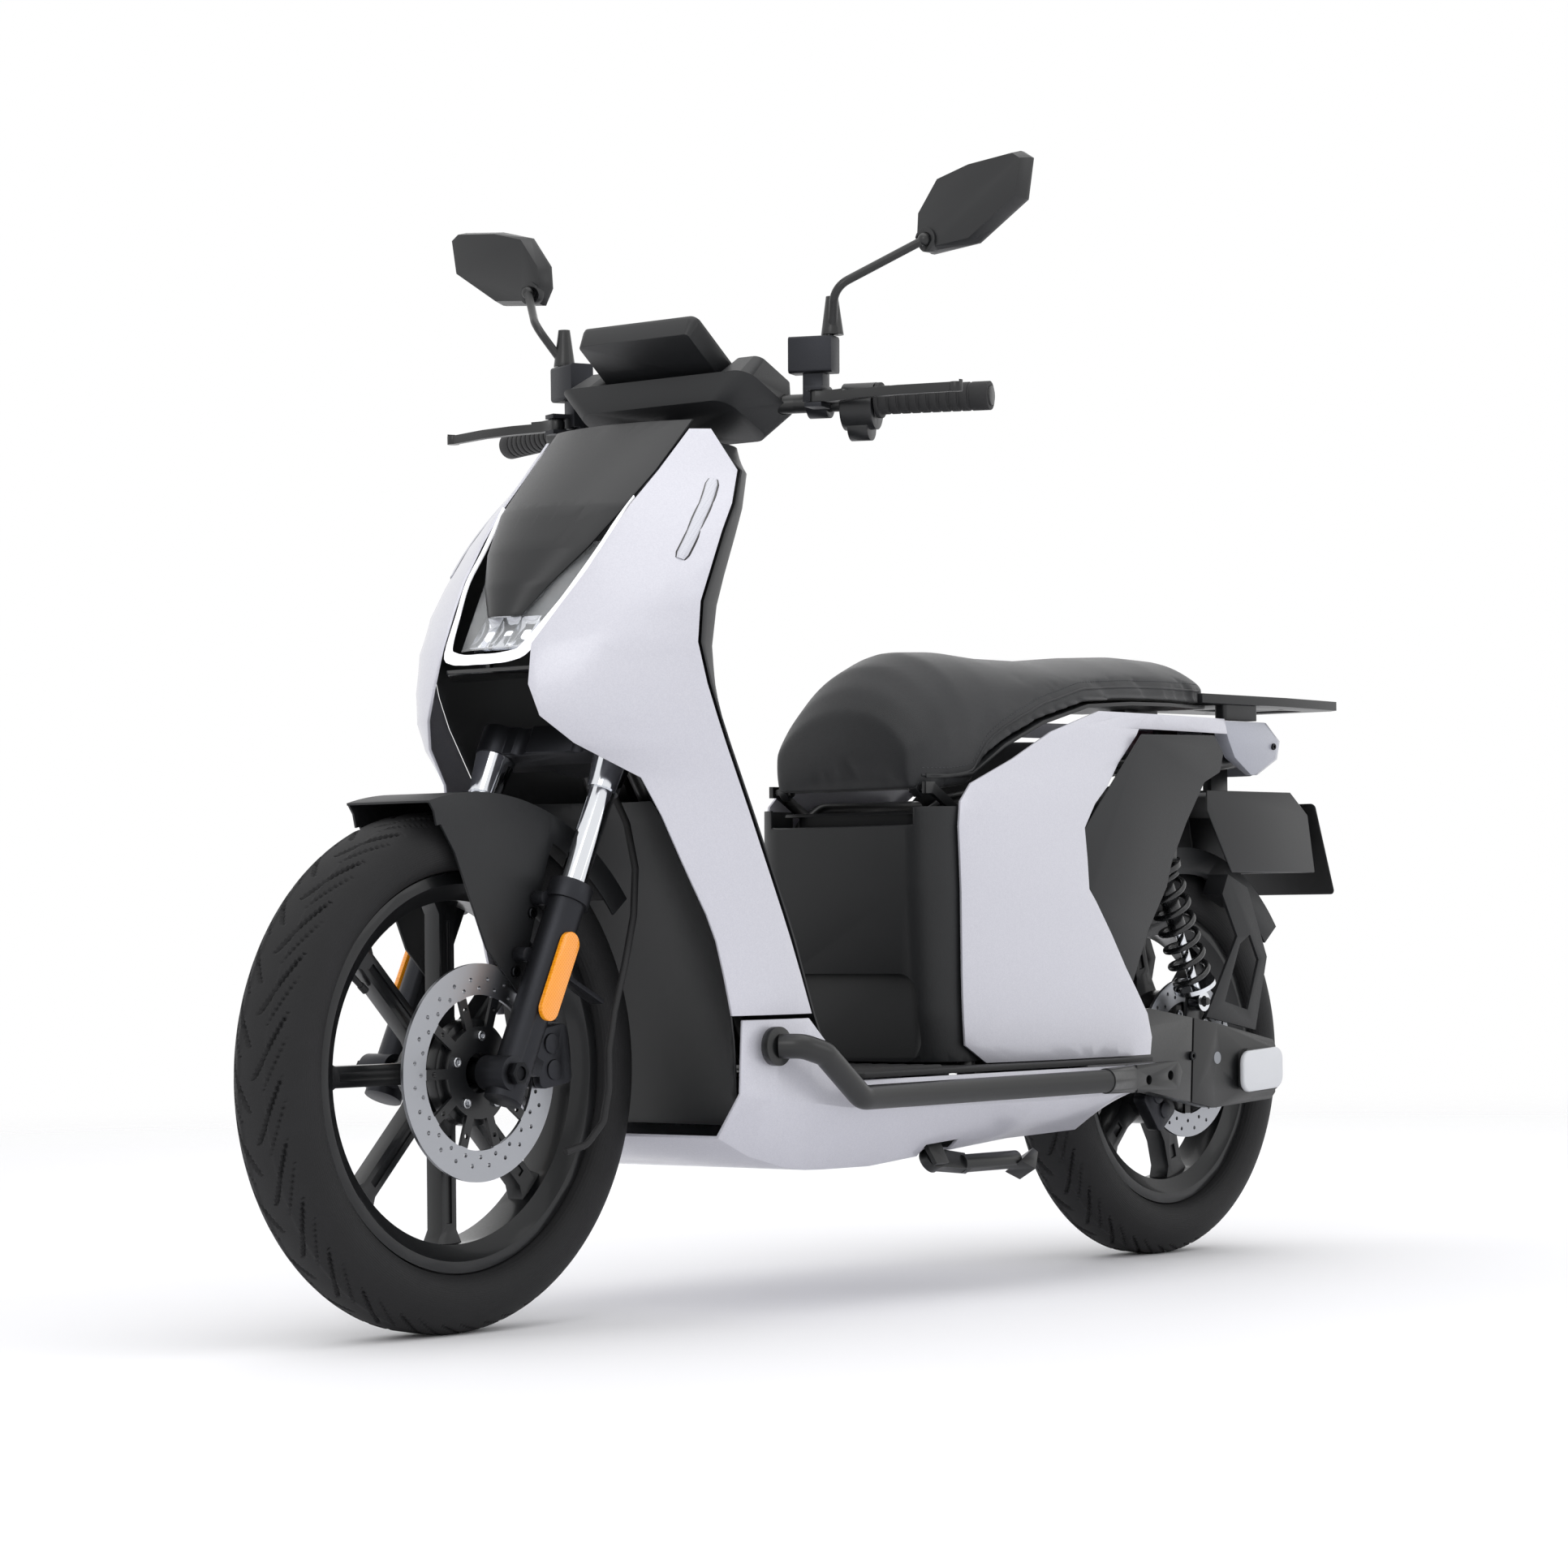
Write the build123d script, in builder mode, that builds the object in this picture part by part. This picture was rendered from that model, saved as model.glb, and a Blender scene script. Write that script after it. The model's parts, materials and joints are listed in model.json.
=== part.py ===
"""Electric moped scooter with an aluminium fork, cast wheels and moulded body panels.

The frame is +X forward, +Y to the rider's left, +Z up, in millimetres, standing on Z = 0 with X = 0 at
the middle of the overall length. Points of the front end are measured from the front axle with front(),
points of the rear end from the rear axle with rear(), and heights near the seat from the seat with seat().
"""

from build123d import *
import os
from math import cos, hypot, radians, sin

os.makedirs("parts", exist_ok=True)

# ---------------------------------------------------------------- driving dimensions
wheelbase = 1345.0
seat_height = 778.0
rake = 26.3  # steering axis, degrees back from vertical
rack_overhang = 345.0  # rack end behind the rear axle

tyre_width = 100.0
tyre_aspect = 0.8
front_rim_inch = 16.0
rear_rim_inch = 14.0
tyre_flat = 36.0  # width of the flat tread crown
tyre_wall = 7.0
flange_height = 13.5

floor_height = 262.0  # underside of the floorboard
floor_thick = 6.0
floor_half_width = 200.0
panel_wall = 3.0

rail_y = 130.0  # frame side rail from the centre plane
rail_r = 13.0
head_tube_r = 26.0
head_tube_bottom = 436.0  # along the steering axis
head_tube_top = 616.0
bearing_r = 23.5
bearing_height = 14.0
stem_r = 14.0

axle_lead = 15.0  # wheel axle ahead of the fork legs
crown_lead = 20.0  # fork legs ahead of the steering axis
leg_y = 90.0
stanchion_r = 15.0
slider_r = 21.0
slider_top = 232.0
slider_bottom = -26.0
crown_bottom = 394.0
crown_thick = 34.0
fork_travel = 70.0
run_fit = 0.04  # radial clearance of a running fit

front_axle_r = 7.5
rear_axle_r = 8.0
wheel_bearing_r = 17.5
wheel_bearing_width = 11.0
hub_r = 34.0
hub_half = 34.0
disc_y = 57.0
disc_thick = 4.0
front_disc_r = 118.0
front_disc_inner = 84.0
rear_disc_r = 104.0
rear_disc_inner = 74.0
motor_r = 88.0
motor_half = 50.0
motor_gap = 0.8

arm_y = 98.0  # swingarm leg from the centre plane
arm_width = 24.0
pivot_pin_r = 8.0
pivot_x = 310.0  # swingarm pivot ahead of the rear axle
pivot_z = 270.0
shock_y = 98.0
shock_top = (120.0, 530.0)  # ahead of the rear axle, height
shock_foot = (23.0, 332.0)
shock_pin_r = 5.0
shock_foot_clearance = 2.2
shock_rod_r = 6.0
spring_r = 23.0
spring_wire_r = 4.0

bar_r = 11.0
bar_w = 850.0  # along the steering axis
bar_bend = (-440.0, 150.0, 1036.0)  # from the front axle
bar_tip = (-520.0, 372.0, 1034.0)
grip_r = 16.5
grip_start = 100.0
grip_end = 234.0
lever_pivot_t = 36.0
lever_pivot_out = 34.0

seat_hinge_x = 623.0
seat_hinge_r = 5.0
seat_half_width = 130.0
box_front_x = 645.0
box_half_width = 152.0
bin_half_width = 112.0

rack_half_width = 108.0
rack_bolt_r = 4.25
rack_bolt_x = 100.0
rack_bolt_y = 120.0

stand_length = 176.0
stand_tilt = 30.0  # lean of the stand's pin, so the leg swings out as it goes down
stand_r = 11.0
stand_pin_r = 6.0

# ---------------------------------------------------------------- datums
front_tyre_r = front_rim_inch * 25.4 / 2 + tyre_aspect * tyre_width
rear_tyre_r = rear_rim_inch * 25.4 / 2 + tyre_aspect * tyre_width
overall_length = front_tyre_r + wheelbase + rack_overhang
front_axle_x = overall_length / 2 - front_tyre_r
rear_axle_x = front_axle_x - wheelbase
cos_rake = cos(radians(rake))
sin_rake = sin(radians(rake))
steer_offset = axle_lead + crown_lead
floor_top = floor_height + floor_thick


def front(x):
    """X of a point measured from the front axle, forward positive."""
    return front_axle_x + x


def rear(x):
    """X of a point measured from the rear axle, forward positive."""
    return rear_axle_x + x


def seat(z):
    """Height of a point of the rear body that follows the seat, given for a 778 mm seat."""
    return z + seat_height - 778.0


# The fork frame: x ahead of the steering axis, y left, z up along the axis from axle level.
fork = Plane(
    origin=(front_axle_x - steer_offset * cos_rake, 0, front_tyre_r - steer_offset * sin_rake),
    x_dir=(cos_rake, 0, sin_rake),
    z_dir=(-sin_rake, 0, cos_rake),
)
front_wheel = Plane(origin=(front_axle_x, 0, front_tyre_r), x_dir=(1, 0, 0), z_dir=(0, -1, 0))
rear_wheel = Plane(origin=(rear_axle_x, 0, rear_tyre_r), x_dir=(1, 0, 0), z_dir=(0, -1, 0))
side = Plane.XZ


def bar_frame():
    """The left grip's frame: x ahead of the bar, y down, z outward along the grip."""
    start = Vector(front(bar_bend[0]), bar_bend[1], bar_bend[2])
    tip = Vector(front(bar_tip[0]), bar_tip[1], bar_tip[2])
    out = (tip - start).normalized()
    return Plane(origin=start, x_dir=(out.Y, -out.X, 0), z_dir=out)


grip_axis = bar_frame()


# ---------------------------------------------------------------- shared shapes
def tube(points, radius, bend, bore=0.0):
    """A round tube along straight runs joined by bends of one radius."""
    with BuildPart() as piece:
        with BuildLine() as path:
            if len(points) > 2:
                FilletPolyline(*points, radius=bend)
            else:
                Line(*points)
        with BuildSketch(Plane(origin=path.line @ 0, z_dir=path.line % 0)):
            Circle(radius)
            if bore:
                Circle(bore, mode=Mode.SUBTRACT)
        sweep(path=path.line)
    return piece.part


def inward(a, b, wall):
    """A step of one wall thickness off the line a-b, toward the centre plane."""
    dx, dy = b[0] - a[0], b[1] - a[1]
    length = hypot(dx, dy)
    sign = 1 if dx > 0 else -1
    return (sign * dy / length * wall, -sign * dx / length * wall)


def smooth(stations, step):
    """Fill in a list of (height, values...) stations with evenly spaced ones on a smooth curve."""
    heights = [s[0] for s in stations]
    rows = [[v for part in s[1:] for v in (part if isinstance(part, tuple) else (part,))] for s in stations]

    def slope(i, k):
        if i in (0, len(rows) - 1):
            j = 1 if i == 0 else i
            return (rows[j][k] - rows[j - 1][k]) / (heights[j] - heights[j - 1])
        before = (rows[i][k] - rows[i - 1][k]) / (heights[i] - heights[i - 1])
        after = (rows[i + 1][k] - rows[i][k]) / (heights[i + 1] - heights[i])
        return 0.0 if before * after <= 0 else 2 * before * after / (before + after)

    filled = []
    for i in range(len(rows) - 1):
        span = heights[i + 1] - heights[i]
        pieces = max(1, round(abs(span) / step))
        for j in range(pieces):
            t = j / pieces
            values = [
                (2 * t**3 - 3 * t**2 + 1) * rows[i][k]
                + (t**3 - 2 * t**2 + t) * span * slope(i, k)
                + (3 * t**2 - 2 * t**3) * rows[i + 1][k]
                + (t**3 - t**2) * span * slope(i + 1, k)
                for k in range(len(rows[i]))
            ]
            filled.append((heights[i] + t * span, values))
    filled.append((heights[-1], rows[-1]))
    return filled


skin_step = 34.0


def side_skin(stations, wall):
    """A thin left-hand panel lofted through level stations of a front, middle and rear point."""
    with BuildPart() as piece:
        for z, (ax, ay, bx, by, cx, cy) in smooth(stations, skin_step):
            a, b, c = (ax, ay), (bx, by), (cx, cy)
            steps = (inward(a, b, wall), inward(a, c, wall), inward(b, c, wall))
            inner = [(p[0] + s[0], p[1] + s[1]) for p, s in zip((a, b, c), steps)]
            with BuildSketch(Plane.XY.offset(z)):
                with BuildLine():
                    ThreePointArc(a, b, c)
                    Line(c, inner[2])
                    ThreePointArc(inner[2], inner[1], inner[0])
                    Line(inner[0], a)
                make_face()
        loft(ruled=True)
    return piece.part


def cross_skin(stations, wall):
    """A thin panel across the centre plane, lofted through level stations of an edge and a middle."""
    with BuildPart() as piece:
        for z, (edge_x, edge_y, middle_x) in smooth(stations, skin_step):
            with BuildSketch(Plane.XY.offset(z)):
                with BuildLine():
                    ThreePointArc((edge_x, edge_y), (middle_x, 0), (edge_x, -edge_y))
                    Line((edge_x, -edge_y), (edge_x - wall, -edge_y))
                    ThreePointArc((edge_x - wall, -edge_y), (middle_x - wall, 0), (edge_x - wall, edge_y))
                    Line((edge_x - wall, edge_y), (edge_x, edge_y))
                make_face()
        loft(ruled=True)
    return piece.part


def plate(outline, y_from, y_to):
    """A flat plate with a side-view outline, standing between two distances from the centre plane."""
    with BuildPart() as piece:
        with BuildSketch(side.offset(-y_from)):
            with BuildLine():
                Polyline(*outline, close=True)
            make_face()
        extrude(amount=-(y_to - y_from))
    return piece.part


def arc_band(axle, radius, wall, half_width, start, end):
    """A curved strip round an axle, from one angle to another, angles up from straight ahead."""
    with BuildPart() as piece:
        with BuildSketch(axle):
            with BuildLine():
                CenterArc((0, 0), radius + wall, start, end - start)
                CenterArc((0, 0), radius, start, end - start)
                for angle in (start, end):
                    Line(
                        (radius * cos(radians(angle)), radius * sin(radians(angle))),
                        ((radius + wall) * cos(radians(angle)), (radius + wall) * sin(radians(angle))),
                    )
            make_face()
        extrude(amount=half_width, both=True)
    return piece.part


# ---------------------------------------------------------------- wheels
def tyre(axle_x, axle_z, rim_inch):
    """A tubeless tyre with a flat tread crown and beads seated inside the rim flanges."""
    seat_r = rim_inch * 25.4 / 2
    tread_r = axle_z
    half = tyre_width / 2
    widest_r = seat_r + 0.5 * (tread_r - seat_r)
    section = Plane(origin=(axle_x, 0, axle_z), x_dir=(0, 1, 0), z_dir=(1, 0, 0))
    with BuildPart() as piece:
        with BuildSketch(section):
            with BuildLine():
                Polyline((0, tread_r), (tyre_flat / 2, tread_r))
                ThreePointArc(
                    (tyre_flat / 2, tread_r), (half - 11, tread_r - 13), (half, widest_r)
                )
                ThreePointArc((half, widest_r), (half - 8, widest_r - 21), (29, seat_r + flange_height + 1))
                Polyline((29, seat_r + flange_height + 1), (29, seat_r), (20, seat_r), (20, seat_r + 12))
                ThreePointArc(
                    (20, seat_r + 12),
                    (half - tyre_wall, widest_r),
                    (tyre_flat / 2, tread_r - tyre_wall - 4),
                )
                Line((tyre_flat / 2, tread_r - tyre_wall - 4), (0, tread_r - tyre_wall - 4))
                Line((0, tread_r - tyre_wall - 4), (0, tread_r))
            make_face()
            mirror(about=Plane.YZ)
        revolve(axis=Axis((axle_x, 0, axle_z), (0, 1, 0)))
    return piece.part


def rim_band(axle_x, axle_z, rim_inch):
    """The rim's barrel with bead seats, flanges and a drop centre."""
    seat_r = rim_inch * 25.4 / 2
    section = Plane(origin=(axle_x, 0, axle_z), x_dir=(0, 1, 0), z_dir=(1, 0, 0))
    with BuildPart() as piece:
        with BuildSketch(section):
            with BuildLine():
                Polyline(
                    (0, seat_r - 11),
                    (14, seat_r - 11),
                    (19, seat_r),
                    (29, seat_r),
                    (29, seat_r + flange_height),
                    (34, seat_r + flange_height),
                    (34, seat_r + 1),
                    (26, seat_r - 6),
                    (22, seat_r - 17),
                    (0, seat_r - 17),
                    close=True,
                )
            make_face()
            mirror(about=Plane.YZ)
        revolve(axis=Axis((axle_x, 0, axle_z), (0, 1, 0)))
    return piece.part


def spokes(wheel, count, inner_r, outer_r, width, flare, half, turn):
    """Straight spokes with flared ends and a groove down each face."""
    with BuildSketch() as spoke:
        with BuildLine():
            Polyline(
                (inner_r, flare / 2),
                (inner_r + 30, width / 2),
                (outer_r - 16, width / 2),
                (outer_r, flare / 2),
                (outer_r, -flare / 2),
                (outer_r - 16, -width / 2),
                (inner_r + 30, -width / 2),
                (inner_r, -flare / 2),
                close=True,
            )
        make_face()
    with BuildPart() as piece:
        with BuildSketch(wheel):
            with PolarLocations(0, count, start_angle=turn):
                add(spoke.sketch)
        extrude(amount=half, both=True)
        for face in (half, -half):
            with BuildSketch(wheel.offset(face)):
                with PolarLocations((inner_r + outer_r) / 2 + 8, count, start_angle=turn):
                    Rectangle(outer_r - inner_r - 62, width * 0.4)
            extrude(amount=-3 if face > 0 else 3, mode=Mode.SUBTRACT)
    return piece.part


front_spokes = spokes(front_wheel, 8, hub_r - 4, front_rim_inch * 12.7 - 16, 23, 40, 11, 0)
front_band = rim_band(front_axle_x, front_tyre_r, front_rim_inch)
with BuildPart() as front_rim:
    add(front_band)
    add(front_spokes)
    with BuildSketch(front_wheel):
        Circle(hub_r)
    extrude(amount=hub_half, both=True)
    with BuildSketch(front_wheel.offset(-hub_half)):
        Circle(58)
    extrude(amount=-(disc_y - disc_thick / 2 - hub_half - 6))
    with BuildSketch(front_wheel):
        Circle(front_axle_r + 6)
    extrude(amount=hub_half + 30, both=True, mode=Mode.SUBTRACT)
    for end in (1, -1):
        with BuildSketch(front_wheel.offset(end * hub_half)):
            Circle(wheel_bearing_r)
        extrude(amount=-end * wheel_bearing_width, mode=Mode.SUBTRACT)
    with BuildSketch(front_wheel.offset(-hub_half)):
        Circle(wheel_bearing_r)
    extrude(amount=-30, mode=Mode.SUBTRACT)
front_rim.part.label = "front_rim"
export_step(front_rim.part, "parts/front_rim.step")

with BuildPart() as front_wheel_bearings:
    for end in (1, -1):
        with BuildSketch(front_wheel.offset(end * hub_half)):
            Circle(wheel_bearing_r)
            Circle(front_axle_r + run_fit, mode=Mode.SUBTRACT)
        extrude(amount=-end * wheel_bearing_width)
front_wheel_bearings.part.label = "front_wheel_bearings"
export_step(front_wheel_bearings.part, "parts/front_wheel_bearings.step")

front_tyre_shape = tyre(front_axle_x, front_tyre_r, front_rim_inch)
with BuildPart() as front_tyre:
    add(front_tyre_shape)
front_tyre.part.label = "front_tyre"
export_step(front_tyre.part, "parts/front_tyre.step")


def brake_disc(wheel, outer_r, inner_r, carrier_r, hole_pairs):
    """A drilled rotor ring on a ten-armed carrier, on the wheel's left side."""
    rotor = wheel.offset(-(disc_y - disc_thick / 2))
    with BuildPart() as piece:
        with BuildSketch(rotor):
            Circle(outer_r)
            Circle(inner_r, mode=Mode.SUBTRACT)
        extrude(amount=-disc_thick)
        with BuildSketch(rotor):
            with PolarLocations((inner_r + carrier_r) / 2, 10):
                Rectangle(inner_r - carrier_r + 12, 11)
        extrude(amount=-disc_thick)
        with BuildSketch(wheel.offset(-(disc_y - disc_thick / 2 - 6))):
            Circle(carrier_r)
            Circle(22, mode=Mode.SUBTRACT)
        extrude(amount=-(6 + disc_thick))
        for step, turn in ((7, 0), (17, 360 / hole_pairs / 2)):
            with BuildSketch(rotor):
                with PolarLocations(inner_r + step, hole_pairs, start_angle=turn):
                    Circle(2.4)
            extrude(amount=-disc_thick, mode=Mode.SUBTRACT)
        with BuildSketch(rotor):
            with PolarLocations((inner_r + carrier_r) / 2 + 4, 10, start_angle=0):
                Circle(3)
        extrude(amount=-disc_thick, mode=Mode.SUBTRACT)
    return piece.part


front_disc_shape = brake_disc(front_wheel, front_disc_r, front_disc_inner, 50, 24)
with BuildPart() as front_brake_disc:
    add(front_disc_shape)
front_brake_disc.part.label = "front_brake_disc"
export_step(front_brake_disc.part, "parts/front_brake_disc.step")

rear_spokes = spokes(rear_wheel, 6, motor_r - 6, rear_rim_inch * 12.7 - 16, 30, 48, 14, 15)
rear_band = rim_band(rear_axle_x, rear_tyre_r, rear_rim_inch)
with BuildPart() as rear_rim:
    add(rear_band)
    add(rear_spokes)
    with BuildSketch(rear_wheel):
        Circle(motor_r)
    extrude(amount=motor_half, both=True)
    with BuildSketch(rear_wheel):
        Circle(motor_r - 9)
    extrude(amount=motor_half - 8, both=True, mode=Mode.SUBTRACT)
    with BuildSketch(rear_wheel):
        Circle(rear_axle_r + run_fit)
    extrude(amount=motor_half + 1, both=True, mode=Mode.SUBTRACT)
rear_rim.part.label = "rear_rim"
export_step(rear_rim.part, "parts/rear_rim.step")

rear_tyre_shape = tyre(rear_axle_x, rear_tyre_r, rear_rim_inch)
with BuildPart() as rear_tyre:
    add(rear_tyre_shape)
rear_tyre.part.label = "rear_tyre"
export_step(rear_tyre.part, "parts/rear_tyre.step")

rear_disc_y = motor_half + 8 + disc_thick
rear_rotor = rear_wheel.offset(-(rear_disc_y - disc_thick))
with BuildPart() as rear_brake_disc:
    with BuildSketch(rear_rotor):
        Circle(rear_disc_r)
        Circle(rear_disc_inner, mode=Mode.SUBTRACT)
        with PolarLocations((rear_disc_inner + 42) / 2, 8):
            Rectangle(rear_disc_inner - 42 + 12, 12)
    extrude(amount=-disc_thick)
    with BuildSketch(rear_wheel.offset(-motor_half)):
        Circle(42)
        Circle(14, mode=Mode.SUBTRACT)
    extrude(amount=-(rear_disc_y - motor_half))
    with BuildSketch(rear_rotor):
        with PolarLocations(rear_disc_inner + 9, 20):
            Circle(2.4)
        with PolarLocations(rear_disc_inner + 20, 20, start_angle=9):
            Circle(2.4)
    extrude(amount=-disc_thick, mode=Mode.SUBTRACT)
rear_brake_disc.part.label = "rear_brake_disc"
export_step(rear_brake_disc.part, "parts/rear_brake_disc.step")

with BuildPart() as hub_motor_stator:
    with BuildSketch(rear_wheel):
        Circle(motor_r - 9 - motor_gap)
        with PolarLocations(motor_r - 14, 18):
            Rectangle(12, 5, mode=Mode.SUBTRACT)
    extrude(amount=motor_half - 14, both=True)
    with BuildSketch(rear_wheel):
        Circle(rear_axle_r)
    extrude(amount=arm_y + arm_width / 2, both=True)
hub_motor_stator.part.label = "hub_motor_stator"
export_step(hub_motor_stator.part, "parts/hub_motor_stator.step")

# ---------------------------------------------------------------- fork
with BuildPart(fork) as steering_stem:
    with BuildSketch(fork.offset(crown_bottom)):
        with Locations((crown_lead, leg_y), (crown_lead, -leg_y)):
            Circle(stanchion_r + 9)
        Circle(32)
        with Locations((crown_lead / 2, 0)):
            Rectangle(46, 2 * leg_y)
    extrude(amount=crown_thick)
    with BuildSketch(fork.offset(crown_bottom)):
        with Locations((crown_lead, leg_y), (crown_lead, -leg_y)):
            Circle(stanchion_r)
        with Locations((crown_lead + 22, 45), (crown_lead + 22, -45)):
            Circle(14)
    extrude(amount=crown_thick, mode=Mode.SUBTRACT)
    with BuildSketch(fork.offset(crown_bottom)):
        Circle(stem_r)
    extrude(amount=bar_w - bar_r - crown_bottom)
steering_stem.part.label = "steering_stem"
export_step(steering_stem.part, "parts/steering_stem.step")

with BuildPart() as fork_stanchions:
    with BuildSketch(fork.offset(80)):
        with Locations((crown_lead, leg_y), (crown_lead, -leg_y)):
            Circle(stanchion_r)
    extrude(amount=crown_bottom + crown_thick - 80)
    for y in (leg_y, -leg_y):
        with BuildSketch(fork.offset(crown_bottom - 46)):
            with Locations((crown_lead, y)):
                Circle(stanchion_r + 3)
        with BuildSketch(fork.offset(crown_bottom - 0.5)):
            with Locations((crown_lead, y)):
                Circle(stanchion_r + 8)
        loft()
fork_stanchions.part.label = "fork_stanchions"
export_step(fork_stanchions.part, "parts/fork_stanchions.step")

lug_y = leg_y - slider_r
with BuildPart() as fork_sliders:
    for y in (leg_y, -leg_y):
        out = 1 if y > 0 else -1
        with BuildSketch(fork.offset(slider_bottom)):
            with Locations((crown_lead, y)):
                Circle(slider_r)
        extrude(amount=slider_top - 22 - slider_bottom)
        with BuildSketch(fork.offset(slider_top - 22)):
            with Locations((crown_lead, y)):
                Circle(slider_r + 4)
        extrude(amount=22)
        # Axle boss.
        with BuildSketch(front_wheel.offset(-y + out * slider_r)):
            Circle(19)
        extrude(amount=-out * (2 * slider_r - 2))
        # Fender lugs.
        for height in (138, 206):
            lug_plane = Plane(origin=fork.from_local_coords((crown_lead + 22, 0, height)), z_dir=(0, 1, 0))
            with BuildSketch(lug_plane.offset(out * (lug_y - 4))):
                Circle(8)
            extrude(amount=out * 16)
        # Stanchion bore, after the solid additions.
        with BuildSketch(fork.offset(0)):
            with Locations((crown_lead, y)):
                Circle(stanchion_r + run_fit)
        extrude(amount=slider_top, mode=Mode.SUBTRACT)
    with BuildSketch(front_wheel):
        Circle(front_axle_r)
    extrude(amount=leg_y + slider_r + 5, both=True, mode=Mode.SUBTRACT)
    # Calliper lugs behind the left leg.
    with BuildSketch(fork.offset(20)):
        with Locations((crown_lead - slider_r - 7, leg_y - 4)):
            Rectangle(22, 14)
    extrude(amount=18)
    with BuildSketch(fork.offset(86)):
        with Locations((crown_lead - slider_r - 7, leg_y - 4)):
            Rectangle(22, 14)
    extrude(amount=18)
    # Hose guide plate behind the left leg.
    with BuildSketch(fork.offset(132)):
        with Locations((crown_lead - slider_r - 34, leg_y)):
            Rectangle(74, 20)
    extrude(amount=5)
fork_sliders.part.label = "fork_sliders"
export_step(fork_sliders.part, "parts/fork_sliders.step")

with BuildPart() as side_reflectors:
    for out in (1, -1):
        reflector_plane = Plane(
            origin=fork.from_local_coords((crown_lead, 0, 122)), x_dir=fork.z_dir, z_dir=(0, out, 0)
        )
        with BuildSketch(reflector_plane.offset(leg_y + slider_r + 0.2)):
            SlotOverall(104, 27)
        extrude(amount=6)
side_reflectors.part.label = "side_reflectors"
export_step(side_reflectors.part, "parts/side_reflectors.step")

axle_half = leg_y + slider_r
with BuildPart() as front_axle:
    with BuildSketch(front_wheel):
        Circle(front_axle_r)
    extrude(amount=axle_half + 5, both=True)
    for end in (1, -1):
        with BuildSketch(front_wheel.offset(end * (axle_half + 0.2))):
            RegularPolygon(13, 6)
            Circle(front_axle_r, mode=Mode.SUBTRACT)
        extrude(amount=end * 9)
        # Spacer between bearing and leg.
        with BuildSketch(front_wheel.offset(end * (hub_half + 0.3))):
            Circle(11.5)
            Circle(front_axle_r, mode=Mode.SUBTRACT)
        extrude(amount=end * (leg_y - slider_r - hub_half - 0.3))
front_axle.part.label = "front_axle"
export_step(front_axle.part, "parts/front_axle.step")

fender_r = front_tyre_r + 17
fender_half = 62.0
fender_top = arc_band(front_wheel, fender_r, panel_wall, fender_half, 75, 142)
fender_side = arc_band(front_wheel, fender_r - 26, 26.5, panel_wall / 2, 76, 142)
fender_wing = plate(
    [
        (front(78), front_tyre_r + 292),
        (front(-128), front_tyre_r + 270),
        (front(-108), front_tyre_r + 230),
        (front(-60), front_tyre_r + 84),
        (front(-10), front_tyre_r + 133),
        (front(39), front_tyre_r + 238),
    ],
    fender_half - panel_wall,
    fender_half,
)
with BuildPart() as front_fender:
    add(fender_top)
    for y in (fender_half - panel_wall / 2, panel_wall / 2 - fender_half):
        add(fender_side.moved(Location((0, y, 0))))
    add(fender_wing)
    add(mirror(fender_wing, about=Plane.XZ))
    with BuildSketch(front_wheel):
        Circle(fender_r + 0.5)
        Circle(front_tyre_r - 32, mode=Mode.SUBTRACT)
    extrude(amount=fender_half - panel_wall, both=True, mode=Mode.SUBTRACT)
front_fender.part.label = "front_fender"
export_step(front_fender.part, "parts/front_fender.step")


def calliper(wheel, disc_r, radius, angle, disc_middle, size):
    """A two-piston calliper straddling the disc, with its bridge outside the rim of the disc."""
    centre = (radius * cos(radians(angle)), radius * sin(radians(angle)))
    with BuildPart() as piece:
        with BuildSketch(wheel.offset(-disc_middle)):
            with Locations(Location((centre[0], centre[1], 0), (0, 0, angle))):
                RectangleRounded(size[0], size[1], 9)
        extrude(amount=size[2] / 2, both=True)
        with BuildSketch(wheel.offset(-disc_middle)):
            Circle(disc_r + 3)
        extrude(amount=disc_thick / 2 + 1.5, both=True, mode=Mode.SUBTRACT)
        for turn in (-8, 8):
            with BuildSketch(wheel.offset(-(disc_middle + size[2] / 2))):
                pin_angle = radians(angle + turn)
                with Locations(((radius - 2) * cos(pin_angle), (radius - 2) * sin(pin_angle))):
                    Circle(11)
            extrude(amount=-3)
    return piece.part


calliper_radius = 106.0
calliper_shape = calliper(front_wheel, front_disc_r, calliper_radius, 172, disc_y, (52, 66, 28))
with BuildPart() as front_calliper:
    add(calliper_shape)
front_calliper.part.label = "front_calliper"
export_step(front_calliper.part, "parts/front_calliper.step")

hose_points = [
    fork.from_local_coords(p)
    for p in (
        (-34, 44, 384),
        (-58, 64, 348),
        (-74, 82, 300),
        (-84, 92, 246),
        (-88, 98, 188),
        (-90, 102, 132),
        (-98, 104, 88),
        (-118, 102, 52),
        (-134, 94, 18),
        (-130, 84, -12),
        (-108, 78, -30),
    )
]
front_hose = tube(hose_points, 4.0, 18)
with BuildPart() as front_brake_hose:
    add(front_hose)
front_brake_hose.part.label = "front_brake_hose"
export_step(front_brake_hose.part, "parts/front_brake_hose.step")

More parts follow.
